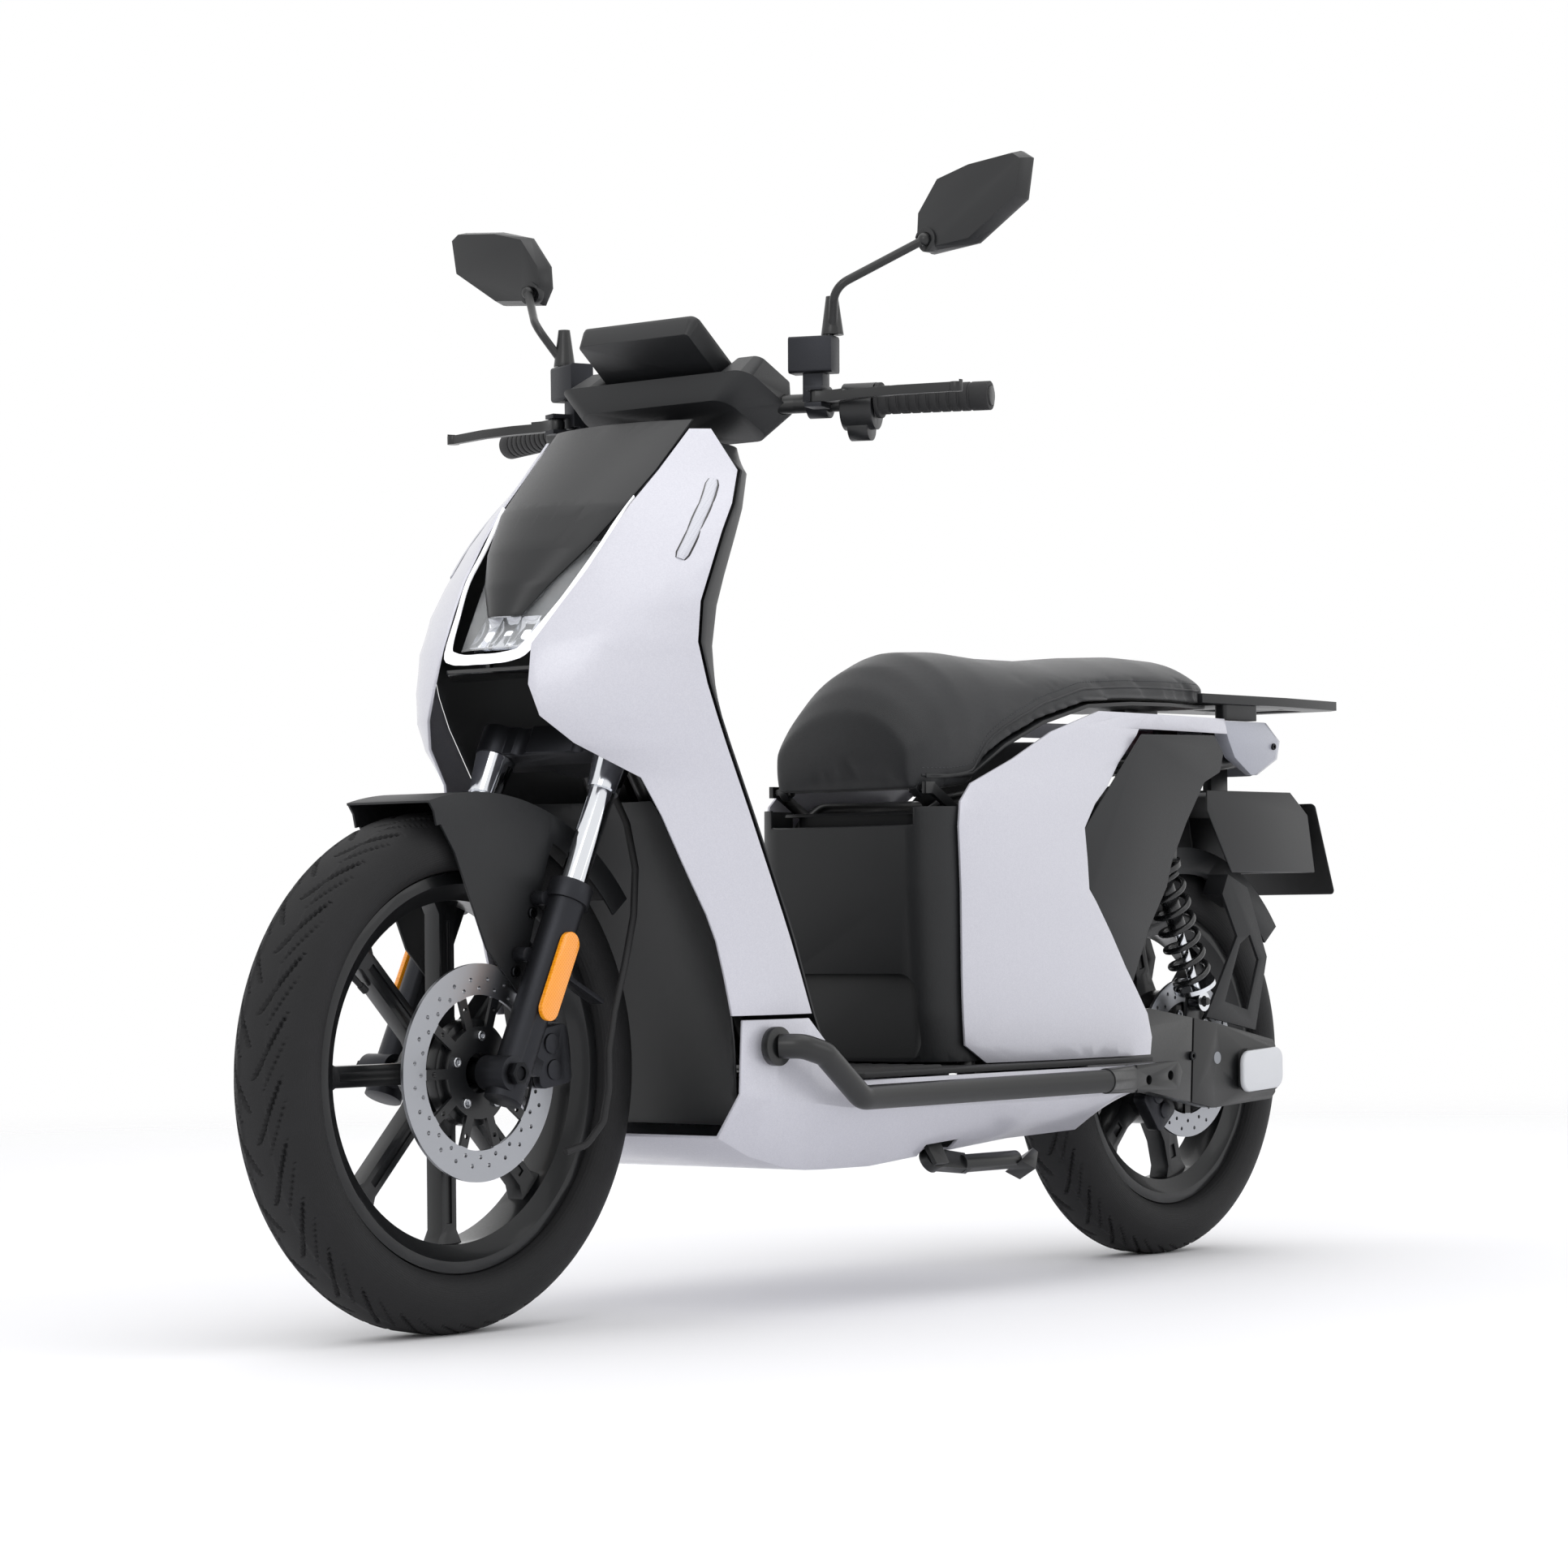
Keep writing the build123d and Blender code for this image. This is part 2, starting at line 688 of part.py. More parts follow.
# ---------------------------------------------------------------- handlebar and controls
bar_left = [
    (front(-397), 0, bar_bend[2] - 1),
    (front(-402), 70, bar_bend[2] - 1),
    (front(bar_bend[0]), bar_bend[1], bar_bend[2]),
    (front(bar_tip[0]), bar_tip[1], bar_tip[2]),
]
bar_points = [(x, -y, z) for x, y, z in reversed(bar_left[1:])] + bar_left
bar_tube = tube([p for p in bar_points if p[1] != 0], bar_r, 34)
with BuildPart() as handlebar:
    add(bar_tube)
    with BuildSketch(fork.offset(bar_w - bar_r + 0.5)):
        with Locations((4, 0)):
            RectangleRounded(44, 84, 10)
    extrude(amount=29)
handlebar.part.label = "handlebar"
export_step(handlebar.part, "parts/handlebar.step")


def grip(bore):
    """A ribbed rubber grip with an end flange, on the left end of the bar."""
    with BuildPart() as piece:
        with BuildSketch(grip_axis.offset(grip_start)):
            Circle(grip_r)
            Circle(bore, mode=Mode.SUBTRACT)
        extrude(amount=grip_end - grip_start)
        with BuildSketch(grip_axis.offset(grip_start)):
            Circle(grip_r + 4)
            Circle(bore, mode=Mode.SUBTRACT)
        extrude(amount=5)
        for step in range(9):
            with BuildSketch(grip_axis.offset(grip_start + 14 + step * 12)):
                Circle(grip_r + 1)
                Circle(grip_r - 1.2, mode=Mode.SUBTRACT)
            extrude(amount=3, mode=Mode.SUBTRACT)
    return piece.part


left_grip_shape = grip(bar_r)
right_grip_shape = mirror(grip(bar_r + run_fit + 0.02), about=Plane.XZ)
with BuildPart() as grip_left:
    add(left_grip_shape)
grip_left.part.label = "grip_left"
export_step(grip_left.part, "parts/grip_left.step")
with BuildPart() as throttle_grip:
    add(right_grip_shape)
throttle_grip.part.label = "throttle_grip"
export_step(throttle_grip.part, "parts/throttle_grip.step")

button_r = 6.5
button_travel = 2.5
button_out = 78.0  # button centre along the bar
button_plane = Plane(
    origin=grip_axis.from_local_coords((-30, 14, button_out)), z_dir=-grip_axis.x_dir
)
with BuildPart() as switch_left:
    with BuildSketch(grip_axis.offset(60)):
        with Locations((-2, 6)):
            Ellipse(24, 27)
        Circle(bar_r, mode=Mode.SUBTRACT)
    extrude(amount=grip_start - 60 - 2)
    with BuildSketch(grip_axis.offset(66)):
        with Locations((-6, 30)):
            Ellipse(17, 15)
    extrude(amount=24)
    with BuildSketch(grip_axis.offset(60)):
        Circle(bar_r)
    extrude(amount=40, mode=Mode.SUBTRACT)
    with BuildSketch(button_plane):
        Circle(button_r + 0.3)
    extrude(amount=-14, mode=Mode.SUBTRACT)
switch_shape = switch_left.part
with BuildPart() as switch_housings:
    add(switch_shape)
    add(mirror(switch_shape, about=Plane.XZ))
switch_housings.part.label = "switch_housings"
export_step(switch_housings.part, "parts/switch_housings.step")

with BuildPart() as horn_button:
    with BuildSketch(button_plane.offset(-9)):
        Circle(button_r)
    extrude(amount=9 + 1)
    chamfer(horn_button.edges().sort_by(SortBy.DISTANCE)[-1], 0.8)
horn_button.part.label = "horn_button"
export_step(horn_button.part, "parts/horn_button.step")
button_shape = horn_button.part
with BuildPart() as start_button:
    add(mirror(button_shape, about=Plane.XZ))
start_button.part.label = "start_button"
export_step(start_button.part, "parts/start_button.step")

# Master cylinder: bar clamp, reservoir above and ahead, lever pivot ears.
reservoir_size = (30.0, 52.0, 30.0)
with BuildPart() as master_left:
    with BuildSketch(grip_axis.offset(18)):
        Circle(bar_r + 7)
        with Locations((14, -16)):
            Rectangle(24, 34)
        Circle(bar_r, mode=Mode.SUBTRACT)
    extrude(amount=24)
    with BuildSketch(grip_axis.offset(4)):
        with Locations((22, -52)):
            RectangleRounded(reservoir_size[0], 42, 4)
    extrude(amount=reservoir_size[1])
    with BuildSketch(grip_axis.offset(28)):
        with Locations((lever_pivot_out - 2, -12)):
            Rectangle(34, 5)
        with Locations((lever_pivot_out - 2, 7)):
            Rectangle(34, 5)
        with Locations((18, -2)):
            Rectangle(6, 23)
    extrude(amount=20)
    pin_foot = grip_axis.from_local_coords((lever_pivot_out + 4, -14, lever_pivot_t + 4))
    with BuildSketch(Plane(origin=pin_foot, z_dir=grip_axis.y_dir)):
        Circle(3)
    extrude(amount=23)
    with BuildSketch(grip_axis.offset(-1)):
        Circle(bar_r)
    extrude(amount=60, mode=Mode.SUBTRACT)
master_shape = master_left.part
with BuildPart() as brake_master_cylinders:
    add(master_shape)
    add(mirror(master_shape, about=Plane.XZ))
brake_master_cylinders.part.label = "brake_master_cylinders"
export_step(brake_master_cylinders.part, "parts/brake_master_cylinders.step")

lever_plane = Plane(
    origin=grip_axis.from_local_coords((lever_pivot_out + 4, 0, lever_pivot_t + 4)),
    x_dir=grip_axis.z_dir,
    z_dir=grip_axis.y_dir,
)
with BuildPart() as brake_lever_left:
    with BuildSketch(lever_plane.offset(-9)):
        Circle(8.5)
        with BuildLine():
            Polyline(
                (-4, 8), (22, 9), (60, 30), (110, 45), (178, 52),
                (178, 44), (112, 36), (66, 18), (24, -6), (-4, -8), close=True,
            )
        make_face()
        with Locations((180, 48)):
            Circle(7.5)
    extrude(amount=13)
    with BuildSketch(lever_plane.offset(-10)):
        Circle(3 + run_fit)
    extrude(amount=16, mode=Mode.SUBTRACT)
    with BuildSketch(lever_plane.offset(-10)):
        with Locations((110, 30)):
            Rectangle(150, 70)
    extrude(amount=3.5, mode=Mode.SUBTRACT)
brake_lever_left.part.label = "brake_lever_left"
export_step(brake_lever_left.part, "parts/brake_lever_left.step")
lever_shape = brake_lever_left.part
with BuildPart() as brake_lever_right:
    add(mirror(lever_shape, about=Plane.XZ))
brake_lever_right.part.label = "brake_lever_right"
export_step(brake_lever_right.part, "parts/brake_lever_right.step")

# Mirrors: a boss on the reservoir, a bent stem and a ball at its end.
mirror_foot = grip_axis.from_local_coords((20, -74.6, 52))
mirror_bend = (front(-414), 230, 1160)
mirror_ball = (front(-484), 306, 1214)
ball_r = 8.0
stem_tube = tube(
    [(mirror_foot.X, mirror_foot.Y, mirror_foot.Z + 2), mirror_bend, mirror_ball], 5.0, 26
)
with BuildPart() as mirror_stem_left:
    add(stem_tube)
    with BuildSketch(Plane(origin=mirror_foot, z_dir=(0, 0, 1))):
        Circle(13)
    with BuildSketch(Plane(origin=mirror_foot, z_dir=(0, 0, 1)).offset(44)):
        Circle(7)
    loft()
    with Locations(mirror_ball):
        Sphere(ball_r)
stem_shape = mirror_stem_left.part
with BuildPart() as mirror_stems:
    add(stem_shape)
    add(mirror(stem_shape, about=Plane.XZ))
mirror_stems.part.label = "mirror_stems"
export_step(mirror_stems.part, "parts/mirror_stems.step")

mirror_outline = [
    (290, 1247), (319, 1285), (365, 1297), (428, 1303), (442, 1294),
    (434, 1248), (366, 1206), (300, 1200), (288, 1220),
]
mirror_back_x = front(-486)
with BuildPart() as mirror_head_left:
    with BuildSketch(Plane.YZ.offset(mirror_back_x - 18)):
        with BuildLine():
            Polyline(*mirror_outline, close=True)
        make_face()
    extrude(amount=16, taper=14)
    with BuildSketch(Plane.YZ.offset(mirror_back_x - 24)):
        with BuildLine():
            Polyline(*mirror_outline, close=True)
        make_face()
    extrude(amount=6)
    with BuildSketch(Plane.YZ.offset(mirror_back_x - 12)):
        with Locations((mirror_ball[1], mirror_ball[2])):
            Circle(14)
    extrude(amount=14)
    with Locations(mirror_ball):
        Sphere(ball_r + 0.3, mode=Mode.SUBTRACT)
    with BuildSketch(Plane(origin=mirror_ball, z_dir=(70, -76, -54))):
        Circle(9)
    with BuildSketch(Plane(origin=mirror_ball, z_dir=(70, -76, -54)).offset(40)):
        Circle(26)
    loft(mode=Mode.SUBTRACT)
mirror_head_left.part.label = "mirror_head_left"
export_step(mirror_head_left.part, "parts/mirror_head_left.step")
head_shape = mirror_head_left.part
with BuildPart() as mirror_head_right:
    add(mirror(head_shape, about=Plane.XZ))
mirror_head_right.part.label = "mirror_head_right"
export_step(mirror_head_right.part, "parts/mirror_head_right.step")

cover_bottom = bar_w - 16
cover_deck = cover_bottom + 30
bar_channel = tube([p for p in bar_points if p[1] != 0], bar_r + 0.6, 34)
with BuildPart() as bar_cover:
    with BuildSketch(fork.offset(cover_bottom)):
        with Locations((4, 0)):
            RectangleRounded(92, 230, 22)
    with BuildSketch(fork.offset(cover_deck)):
        with Locations((10, 0)):
            RectangleRounded(104, 290, 20)
    loft()
    for out in (1, -1):
        with BuildSketch(fork.offset(cover_deck)):
            with Locations((10, out * 117)):
                RectangleRounded(96, 52, 12)
        with BuildSketch(fork.offset(cover_deck + 36)):
            with Locations((2, out * 112)):
                RectangleRounded(66, 40, 10)
        loft()
    with BuildSketch(fork.offset(cover_bottom - 1)):
        Circle(stem_r + 1)
    extrude(amount=8, mode=Mode.SUBTRACT)
    with BuildSketch(fork.offset(bar_w - bar_r)):
        with Locations((4, 0)):
            RectangleRounded(46, 86, 11)
    extrude(amount=31, mode=Mode.SUBTRACT)
    with BuildSketch(fork.offset(cover_bottom - 1)):
        Circle(stem_r + 1)
    extrude(amount=10, mode=Mode.SUBTRACT)
    add(bar_channel, mode=Mode.SUBTRACT)
bar_cover.part.label = "bar_cover"
export_step(bar_cover.part, "parts/bar_cover.step")

display_plane = Plane(origin=(front(-372), 0, 1102), x_dir=(0, 1, 0), z_dir=(-0.62, 0, 0.78))
with BuildPart() as display_unit:
    with BuildSketch(display_plane):
        RectangleRounded(176, 92, 10)
    extrude(amount=-20, taper=12)
    with BuildSketch(display_plane):
        RectangleRounded(176, 92, 10)
    extrude(amount=5)
    with BuildSketch(display_plane.offset(5)):
        RectangleRounded(158, 74, 4)
    extrude(amount=-1.5, mode=Mode.SUBTRACT)
    with BuildSketch(fork.offset(bar_w + 20)):
        with Locations((22, 0)):
            Rectangle(22, 70)
    extrude(amount=12)
display_unit.part.label = "display_unit"
export_step(display_unit.part, "parts/display_unit.step")

# ---------------------------------------------------------------- frame
rail_z = floor_height - rail_r - 30
frame_path = [
    (front(-244), 30, 690),
    (front(-322), 38, 562),
    (front(-367), 60, 440),
    (front(-392), 104, 296),
    (front(-440), rail_y, rail_z),
    (rear(340), rail_y, rail_z),
    (rear(330), rail_y, seat(560)),
    (rear(270), 122, seat(592)),
    (rear(110), 112, seat(618)),
    (rear(-10), 72, seat(642)),
    (rear(-140), 66, seat(656)),
]
main_rail = tube(frame_path, rail_r, 36)
upright = tube(
    [
        (rear(572), rail_y, rail_z),
        (rear(562), rail_y, seat(556)),
        (rear(524), rail_y - 3, seat(578)),
        (rear(330), rail_y - 3, seat(584)),
    ],
    rail_r - 2,
    30,
)
pivot_plate = plate(
    [
        (rear(pivot_x + 32), rail_z),
        (rear(pivot_x + 32), pivot_z + 60),
        (rear(pivot_x + 6), pivot_z + 60),
        (rear(pivot_x - 26), pivot_z + 12),
        (rear(pivot_x - 26), pivot_z - 22),
        (rear(pivot_x), rail_z - 8),
    ],
    112,
    120,
)
shock_hanger = plate(
    [
        (rear(shock_top[0] - 18), shock_top[1] - 14),
        (rear(shock_top[0] + 18), shock_top[1] - 14),
        (rear(shock_top[0] + 22), seat(616)),
        (rear(shock_top[0] - 22), seat(622)),
    ],
    114,
    120,
)
stand_x = rear(650)
stand_z = 158.0
stand_plane = Plane(
    origin=(stand_x, 137, stand_z),
    x_dir=(1, 0, 0),
    z_dir=(0, -cos(radians(stand_tilt)), -sin(radians(stand_tilt))),
)
with BuildPart() as main_frame:
    add(main_rail)
    add(mirror(main_rail, about=Plane.XZ))
    add(upright)
    add(mirror(upright, about=Plane.XZ))
    add(pivot_plate)
    add(mirror(pivot_plate, about=Plane.XZ))
    add(shock_hanger)
    add(mirror(shock_hanger, about=Plane.XZ))
    for x, z in (
        (front(-455), rail_z),
        (rear(572), rail_z),
        (rear(340), rail_z),
        (rear(-20), seat(643)),
    ):
        with BuildSketch(side.offset(-rail_y if z < 400 else -72)):
            with Locations((x, z)):
                Circle(10)
        extrude(amount=2 * (rail_y if z < 400 else 72))
    with BuildSketch(fork.offset(head_tube_bottom)):
        Circle(head_tube_r)
    extrude(amount=head_tube_top - head_tube_bottom)
    with BuildSketch(side.offset(-12)):
        with BuildLine():
            Polyline(
                (front(-250), 800), (front(-236), 690), (front(-330), 540),
                (front(-340), 560), (front(-300), 790),
                close=True,
            )
        make_face()
    extrude(amount=24)
    with BuildSketch(fork.offset(head_tube_bottom)):
        Circle(stem_r + 4)
    extrude(amount=head_tube_top - head_tube_bottom, mode=Mode.SUBTRACT)
    for w, way in ((head_tube_bottom, 1), (head_tube_top, -1)):
        with BuildSketch(fork.offset(w)):
            Circle(bearing_r)
        extrude(amount=way * bearing_height, mode=Mode.SUBTRACT)
    # Swingarm pivot pin and shock pins.
    with BuildSketch(side.offset(-116)):
        with Locations((rear(pivot_x), pivot_z)):
            Circle(pivot_pin_r)
    extrude(amount=232)
    for out in (1, -1):
        with BuildSketch(side.offset(-out * 84)):
            with Locations((rear(shock_top[0]), shock_top[1])):
                Circle(shock_pin_r)
        extrude(amount=-out * 32)
    # Seat hinge ears and side stand bracket.
    for out in (1, -1):
        with BuildSketch(side.offset(-out * 92)):
            with Locations((rear(seat_hinge_x), seat(600))):
                Circle(seat_hinge_r)
        extrude(amount=-out * 30)
        with BuildSketch(side.offset(-out * 116)):
            with BuildLine():
                Polyline(
                    (rear(seat_hinge_x - 9), seat(594)), (rear(seat_hinge_x + 9), seat(594)),
                    (rear(seat_hinge_x + 9), seat(608)), (rear(seat_hinge_x - 9), seat(608)), close=True,
                )
            make_face()
            with BuildLine():
                Polyline(
                    (rear(seat_hinge_x - 9), seat(606)), (rear(554), seat(572)), (rear(554), seat(558)),
                    (rear(seat_hinge_x - 4), seat(594)), close=True,
                )
            make_face()
        extrude(amount=-out * 6)
    with BuildSketch(stand_plane.offset(-13)):
        with BuildLine():
            Polyline((-16, rail_z - stand_z), (18, rail_z - stand_z), (12, -12), (-12, -12), close=True)
        make_face()
    extrude(amount=6)
    with BuildSketch(stand_plane.offset(-26)):
        with Locations((0, rail_z - stand_z - 12)):
            Rectangle(32, 18)
    extrude(amount=19)
    with BuildSketch(stand_plane.offset(-10)):
        Circle(stand_pin_r)
    extrude(amount=20)
main_frame.part.label = "main_frame"
export_step(main_frame.part, "parts/main_frame.step")

with BuildPart() as head_bearings:
    for w, way in ((head_tube_bottom, 1), (head_tube_top, -1)):
        with BuildSketch(fork.offset(w)):
            Circle(bearing_r)
            Circle(stem_r + run_fit, mode=Mode.SUBTRACT)
        extrude(amount=way * bearing_height)
head_bearings.part.label = "head_bearings"
export_step(head_bearings.part, "parts/head_bearings.step")

# ---------------------------------------------------------------- rear suspension
pivot = (rear(pivot_x), pivot_z)
arm_outline = [
    (rear(pivot_x - 2), pivot_z + 20),
    (rear(154), 326),
    (rear(0), 303),
    (rear(-132), 278),
    (rear(-138), 270),
    (rear(-136), 208),
    (rear(-126), 200),
    (rear(10), 193),
    (rear(150), 218),
    (rear(pivot_x - 2), pivot_z - 20),
]
arm_leg = plate(arm_outline, arm_y - arm_width / 2, arm_y + arm_width / 2)
foot_lug = plate(
    [
        (rear(shock_foot[0] + 16), 296),
        (rear(shock_foot[0] + 11), shock_foot[1] + 9),
        (rear(shock_foot[0] - 11), shock_foot[1] + 9),
        (rear(shock_foot[0] - 18), 296),
    ],
    84,
    88,
)
with BuildPart() as swingarm:
    add(arm_leg)
    add(mirror(arm_leg, about=Plane.XZ))
    add(foot_lug)
    add(mirror(foot_lug, about=Plane.XZ))
    with BuildSketch(side.offset(-111.6)):
        with Locations(pivot):
            Circle(24)
    extrude(amount=223.2)
    for out in (1, -1):
        with BuildSketch(side.offset(-out * 84)):
            with Locations((rear(shock_foot[0]), shock_foot[1])):
                Circle(shock_pin_r)
        extrude(amount=-out * 28)
        # Raised seam and cap seats on the outer faces.
        with BuildSketch(side.offset(-out * (arm_y + arm_width / 2))):
            with Locations((rear(-92), 240)):
                RectangleRounded(86, 56, 14)
        extrude(amount=-out * 8)
        with BuildSketch(side.offset(-out * (arm_y + arm_width / 2 - 5))):
            with Locations((rear(58), 260)):
                Rectangle(4, 150, rotation=4)
        extrude(amount=-out * 6, mode=Mode.SUBTRACT)
    with BuildSketch(side.offset(-112)):
        with Locations(pivot):
            Circle(pivot_pin_r + run_fit)
    extrude(amount=224, mode=Mode.SUBTRACT)
    with BuildSketch(rear_wheel):
        Circle(rear_axle_r)
    extrude(amount=arm_y + arm_width / 2 + 1, both=True, mode=Mode.SUBTRACT)
swingarm.part.label = "swingarm"
export_step(swingarm.part, "parts/swingarm.step")

hugger_r = rear_tyre_r + 15
hugger_half = 62.0
hugger_top = arc_band(rear_wheel, hugger_r, panel_wall, hugger_half, 50, 142)
hugger_side = arc_band(rear_wheel, hugger_r - 32, 32.5, panel_wall / 2, 58, 142)
stay_outline = [
    (rear(-2), 311),
    (rear(-78), rear_tyre_r + 158),
    (rear(-44), rear_tyre_r + 214),
    (rear(-58), rear_tyre_r + 240),
    (rear(-104), rear_tyre_r + 222),
    (rear(-148), rear_tyre_r + 130),
    (rear(-118), 291),
]
stay_window = [
    (rear(-46), 330),
    (rear(-84), rear_tyre_r + 148),
    (rear(-108), rear_tyre_r + 160),
    (rear(-128), rear_tyre_r + 126),
    (rear(-100), 318),
]
stay = plate(stay_outline, hugger_half - 2, hugger_half + 30)
with BuildPart() as stay_shape:
    add(stay)
    with BuildSketch(side.offset(-hugger_half + 3)):
        with BuildLine():
            Polyline(*stay_window, close=True)
        make_face()
    extrude(amount=-40, mode=Mode.SUBTRACT)
    with BuildSketch(side.offset(-hugger_half + 3)):
        with BuildLine():
            Polyline(*stay_outline, close=True)
        make_face()
    extrude(amount=-(26 + 3), mode=Mode.SUBTRACT)
    with BuildSketch(side.offset(-hugger_half + 2)):
        with BuildLine():
            Polyline(
                (rear(-44), rear_tyre_r + 214), (rear(-58), rear_tyre_r + 240),
                (rear(-104), rear_tyre_r + 222), (rear(-88), rear_tyre_r + 196), close=True,
            )
        make_face()
    extrude(amount=-31)
with BuildPart() as rear_hugger:
    add(hugger_top)
    for y in (hugger_half - panel_wall / 2, panel_wall / 2 - hugger_half):
        add(hugger_side.moved(Location((0, y, 0))))
    add(stay_shape.part)
    add(mirror(stay_shape.part, about=Plane.XZ))
rear_hugger.part.label = "rear_hugger"
export_step(rear_hugger.part, "parts/rear_hugger.step")

rear_calliper_shape = calliper(
    rear_wheel, rear_disc_r, rear_disc_r - 10, -38, rear_disc_y - disc_thick / 2, (48, 60, 18)
)
with BuildPart() as rear_calliper:
    add(rear_calliper_shape)
rear_calliper.part.label = "rear_calliper"
export_step(rear_calliper.part, "parts/rear_calliper.step")

# Shocks: the damper body hangs from the frame, the rod slides in it and ends at the swingarm.
shock_dx = rear(shock_foot[0]) - rear(shock_top[0])
shock_dz = shock_foot[1] - shock_top[1]
shock_length = hypot(shock_dx, shock_dz)
shock_down = (shock_dx / shock_length, 0, shock_dz / shock_length)
body_length = 118.0
upper_seat = 30.0


def shock_plane(out, distance):
    """A plane square to one shock, at a distance down from its top eye."""
    return Plane(
        origin=(
            rear(shock_top[0]) + shock_down[0] * distance,
            out * shock_y,
            shock_top[1] + shock_down[2] * distance,
        ),
        x_dir=(0, 1, 0),
        z_dir=shock_down,
    )


with BuildPart() as shock_bodies:
    for out in (1, -1):
        with BuildSketch(side.offset(-out * (shock_y - 9))):
            with Locations((rear(shock_top[0]), shock_top[1])):
                Circle(12)
        extrude(amount=-out * 18)
        with BuildSketch(shock_plane(out, 9)):
            Circle(12)
        extrude(amount=body_length - 9)
        with BuildSketch(shock_plane(out, upper_seat - 8)):
            Circle(spring_r + 5)
        extrude(amount=7)
        with BuildSketch(shock_plane(out, 40)):
            Circle(shock_rod_r + run_fit)
        extrude(amount=body_length, mode=Mode.SUBTRACT)
        with BuildSketch(side.offset(-out * (shock_y - 12))):
            with Locations((rear(shock_top[0]), shock_top[1])):
                Circle(shock_pin_r + run_fit)
        extrude(amount=-out * 24, mode=Mode.SUBTRACT)
shock_bodies.part.label = "shock_bodies"
export_step(shock_bodies.part, "parts/shock_bodies.step")

lower_seat = shock_length - 26
rod_start = 104  # clears the upper eye when the arm is fully up
with BuildPart() as shock_rods:
    for out in (1, -1):
        with BuildSketch(shock_plane(out, rod_start)):
            Circle(shock_rod_r)
        extrude(amount=shock_length - rod_start - 6)
        with BuildSketch(shock_plane(out, lower_seat)):
            Circle(spring_r + 5)
        extrude(amount=6)
        with BuildSketch(side.offset(-out * (shock_y - 8))):
            with Locations((rear(shock_foot[0]), shock_foot[1])):
                Circle(13)
        extrude(amount=-out * 16)
        with BuildSketch(side.offset(-out * (shock_y - 12))):
            with Locations((rear(shock_foot[0]), shock_foot[1])):
                Circle(shock_pin_r + shock_foot_clearance)
        extrude(amount=-out * 24, mode=Mode.SUBTRACT)
shock_rods.part.label = "shock_rods"
export_step(shock_rods.part, "parts/shock_rods.step")

spring_turns = 6.5
spring_span = lower_seat - upper_seat - 2 * spring_wire_r - 0.6
with BuildPart() as coil:
    with BuildLine() as coil_path:
        Helix(pitch=spring_span / spring_turns, height=spring_span, radius=spring_r)
    with BuildSketch(Plane(origin=coil_path.line @ 0, z_dir=coil_path.line % 0)):
        Circle(spring_wire_r)
    sweep(is_frenet=True)
coil_shape = coil.part
with BuildPart() as shock_springs:
    for out in (1, -1):
        add(coil_shape.moved(shock_plane(out, upper_seat + spring_wire_r + 0.3).location))
shock_springs.part.label = "shock_springs"
export_step(shock_springs.part, "parts/shock_springs.step")

# ---------------------------------------------------------------- front body
shield_stations = [
    (1000, (-300, 109), (-309, 118), (-318, 126)),
    (950, (-250, 106), (-286, 143), (-316, 166)),
    (909, (-206, 102), (-246, 152), (-282, 186)),
    (877, (-178, 99), (-220, 158), (-254, 195)),
    (830, (-140, 93), (-184, 160), (-224, 202)),
    (795, (-112, 82), (-158, 158), (-204, 205)),
    (750, (-78, 68), (-134, 156), (-199, 205)),
    (705, (-68, 72), (-130, 158), (-213, 206)),
    (670, (-72, 85), (-140, 164), (-229, 206)),
    (640, (-100, 110), (-165, 172), (-246, 204)),
    (602, (-165, 150), (-214, 184), (-268, 202)),
    (560, (-184, 163), (-236, 188), (-292, 200)),
    (511, (-206, 172), (-262, 191), (-320, 197)),
    (421, (-257, 178), (-313, 190), (-371, 191)),
    (338, (-280, 180), (-345, 190), (-410, 188)),
]


def from_front(station):
    """A shield station moved from front-axle to model coordinates."""
    z, *points = station
    return (z, *[(front(x), y) for x, y in points])


shield_shape = side_skin([from_front(s) for s in shield_stations], panel_wall)
with BuildPart() as front_shield_panels:
    add(shield_shape)
    add(mirror(shield_shape, about=Plane.XZ))
front_shield_panels.part.label = "front_shield_panels"
export_step(front_shield_panels.part, "parts/front_shield_panels.step")

centre_shape = cross_skin(
    [
        (1012, (front(-312), 103), front(-288)),
        (950, (front(-250), 101), front(-216)),
        (909, (front(-206), 95), front(-168)),
        (860, (front(-163), 76), front(-130)),
        (820, (front(-130), 50), front(-108)),
        (784, (front(-108), 25), front(-98)),
    ],
    panel_wall,
)
with BuildPart() as front_centre_panel:
    add(centre_shape)
front_centre_panel.part.label = "front_centre_panel"
export_step(front_centre_panel.part, "parts/front_centre_panel.step")

lens_stations = [
    (746, (front(-90), 49), front(-76)),
    (784, (front(-120), 60), front(-117)),
    (830, (front(-156), 73), front(-131)),
    (868, (front(-188), 80), front(-155)),
]
lens_shape = cross_skin(lens_stations, 2.5)
with BuildPart() as headlight_lens:
    add(lens_shape)
headlight_lens.part.label = "headlight_lens"
export_step(headlight_lens.part, "parts/headlight_lens.step")

drl_side = [
    (front(-203), 96, 903),
    (front(-141), 86, 828),
    (front(-76), 58, 742),
]
drl_shape = tube(drl_side + [(x, -y, z) for x, y, z in reversed(drl_side)], 3.0, 10)
with BuildPart() as daytime_light:
    add(drl_shape)
daytime_light.part.label = "daytime_light"
export_step(daytime_light.part, "parts/daytime_light.step")

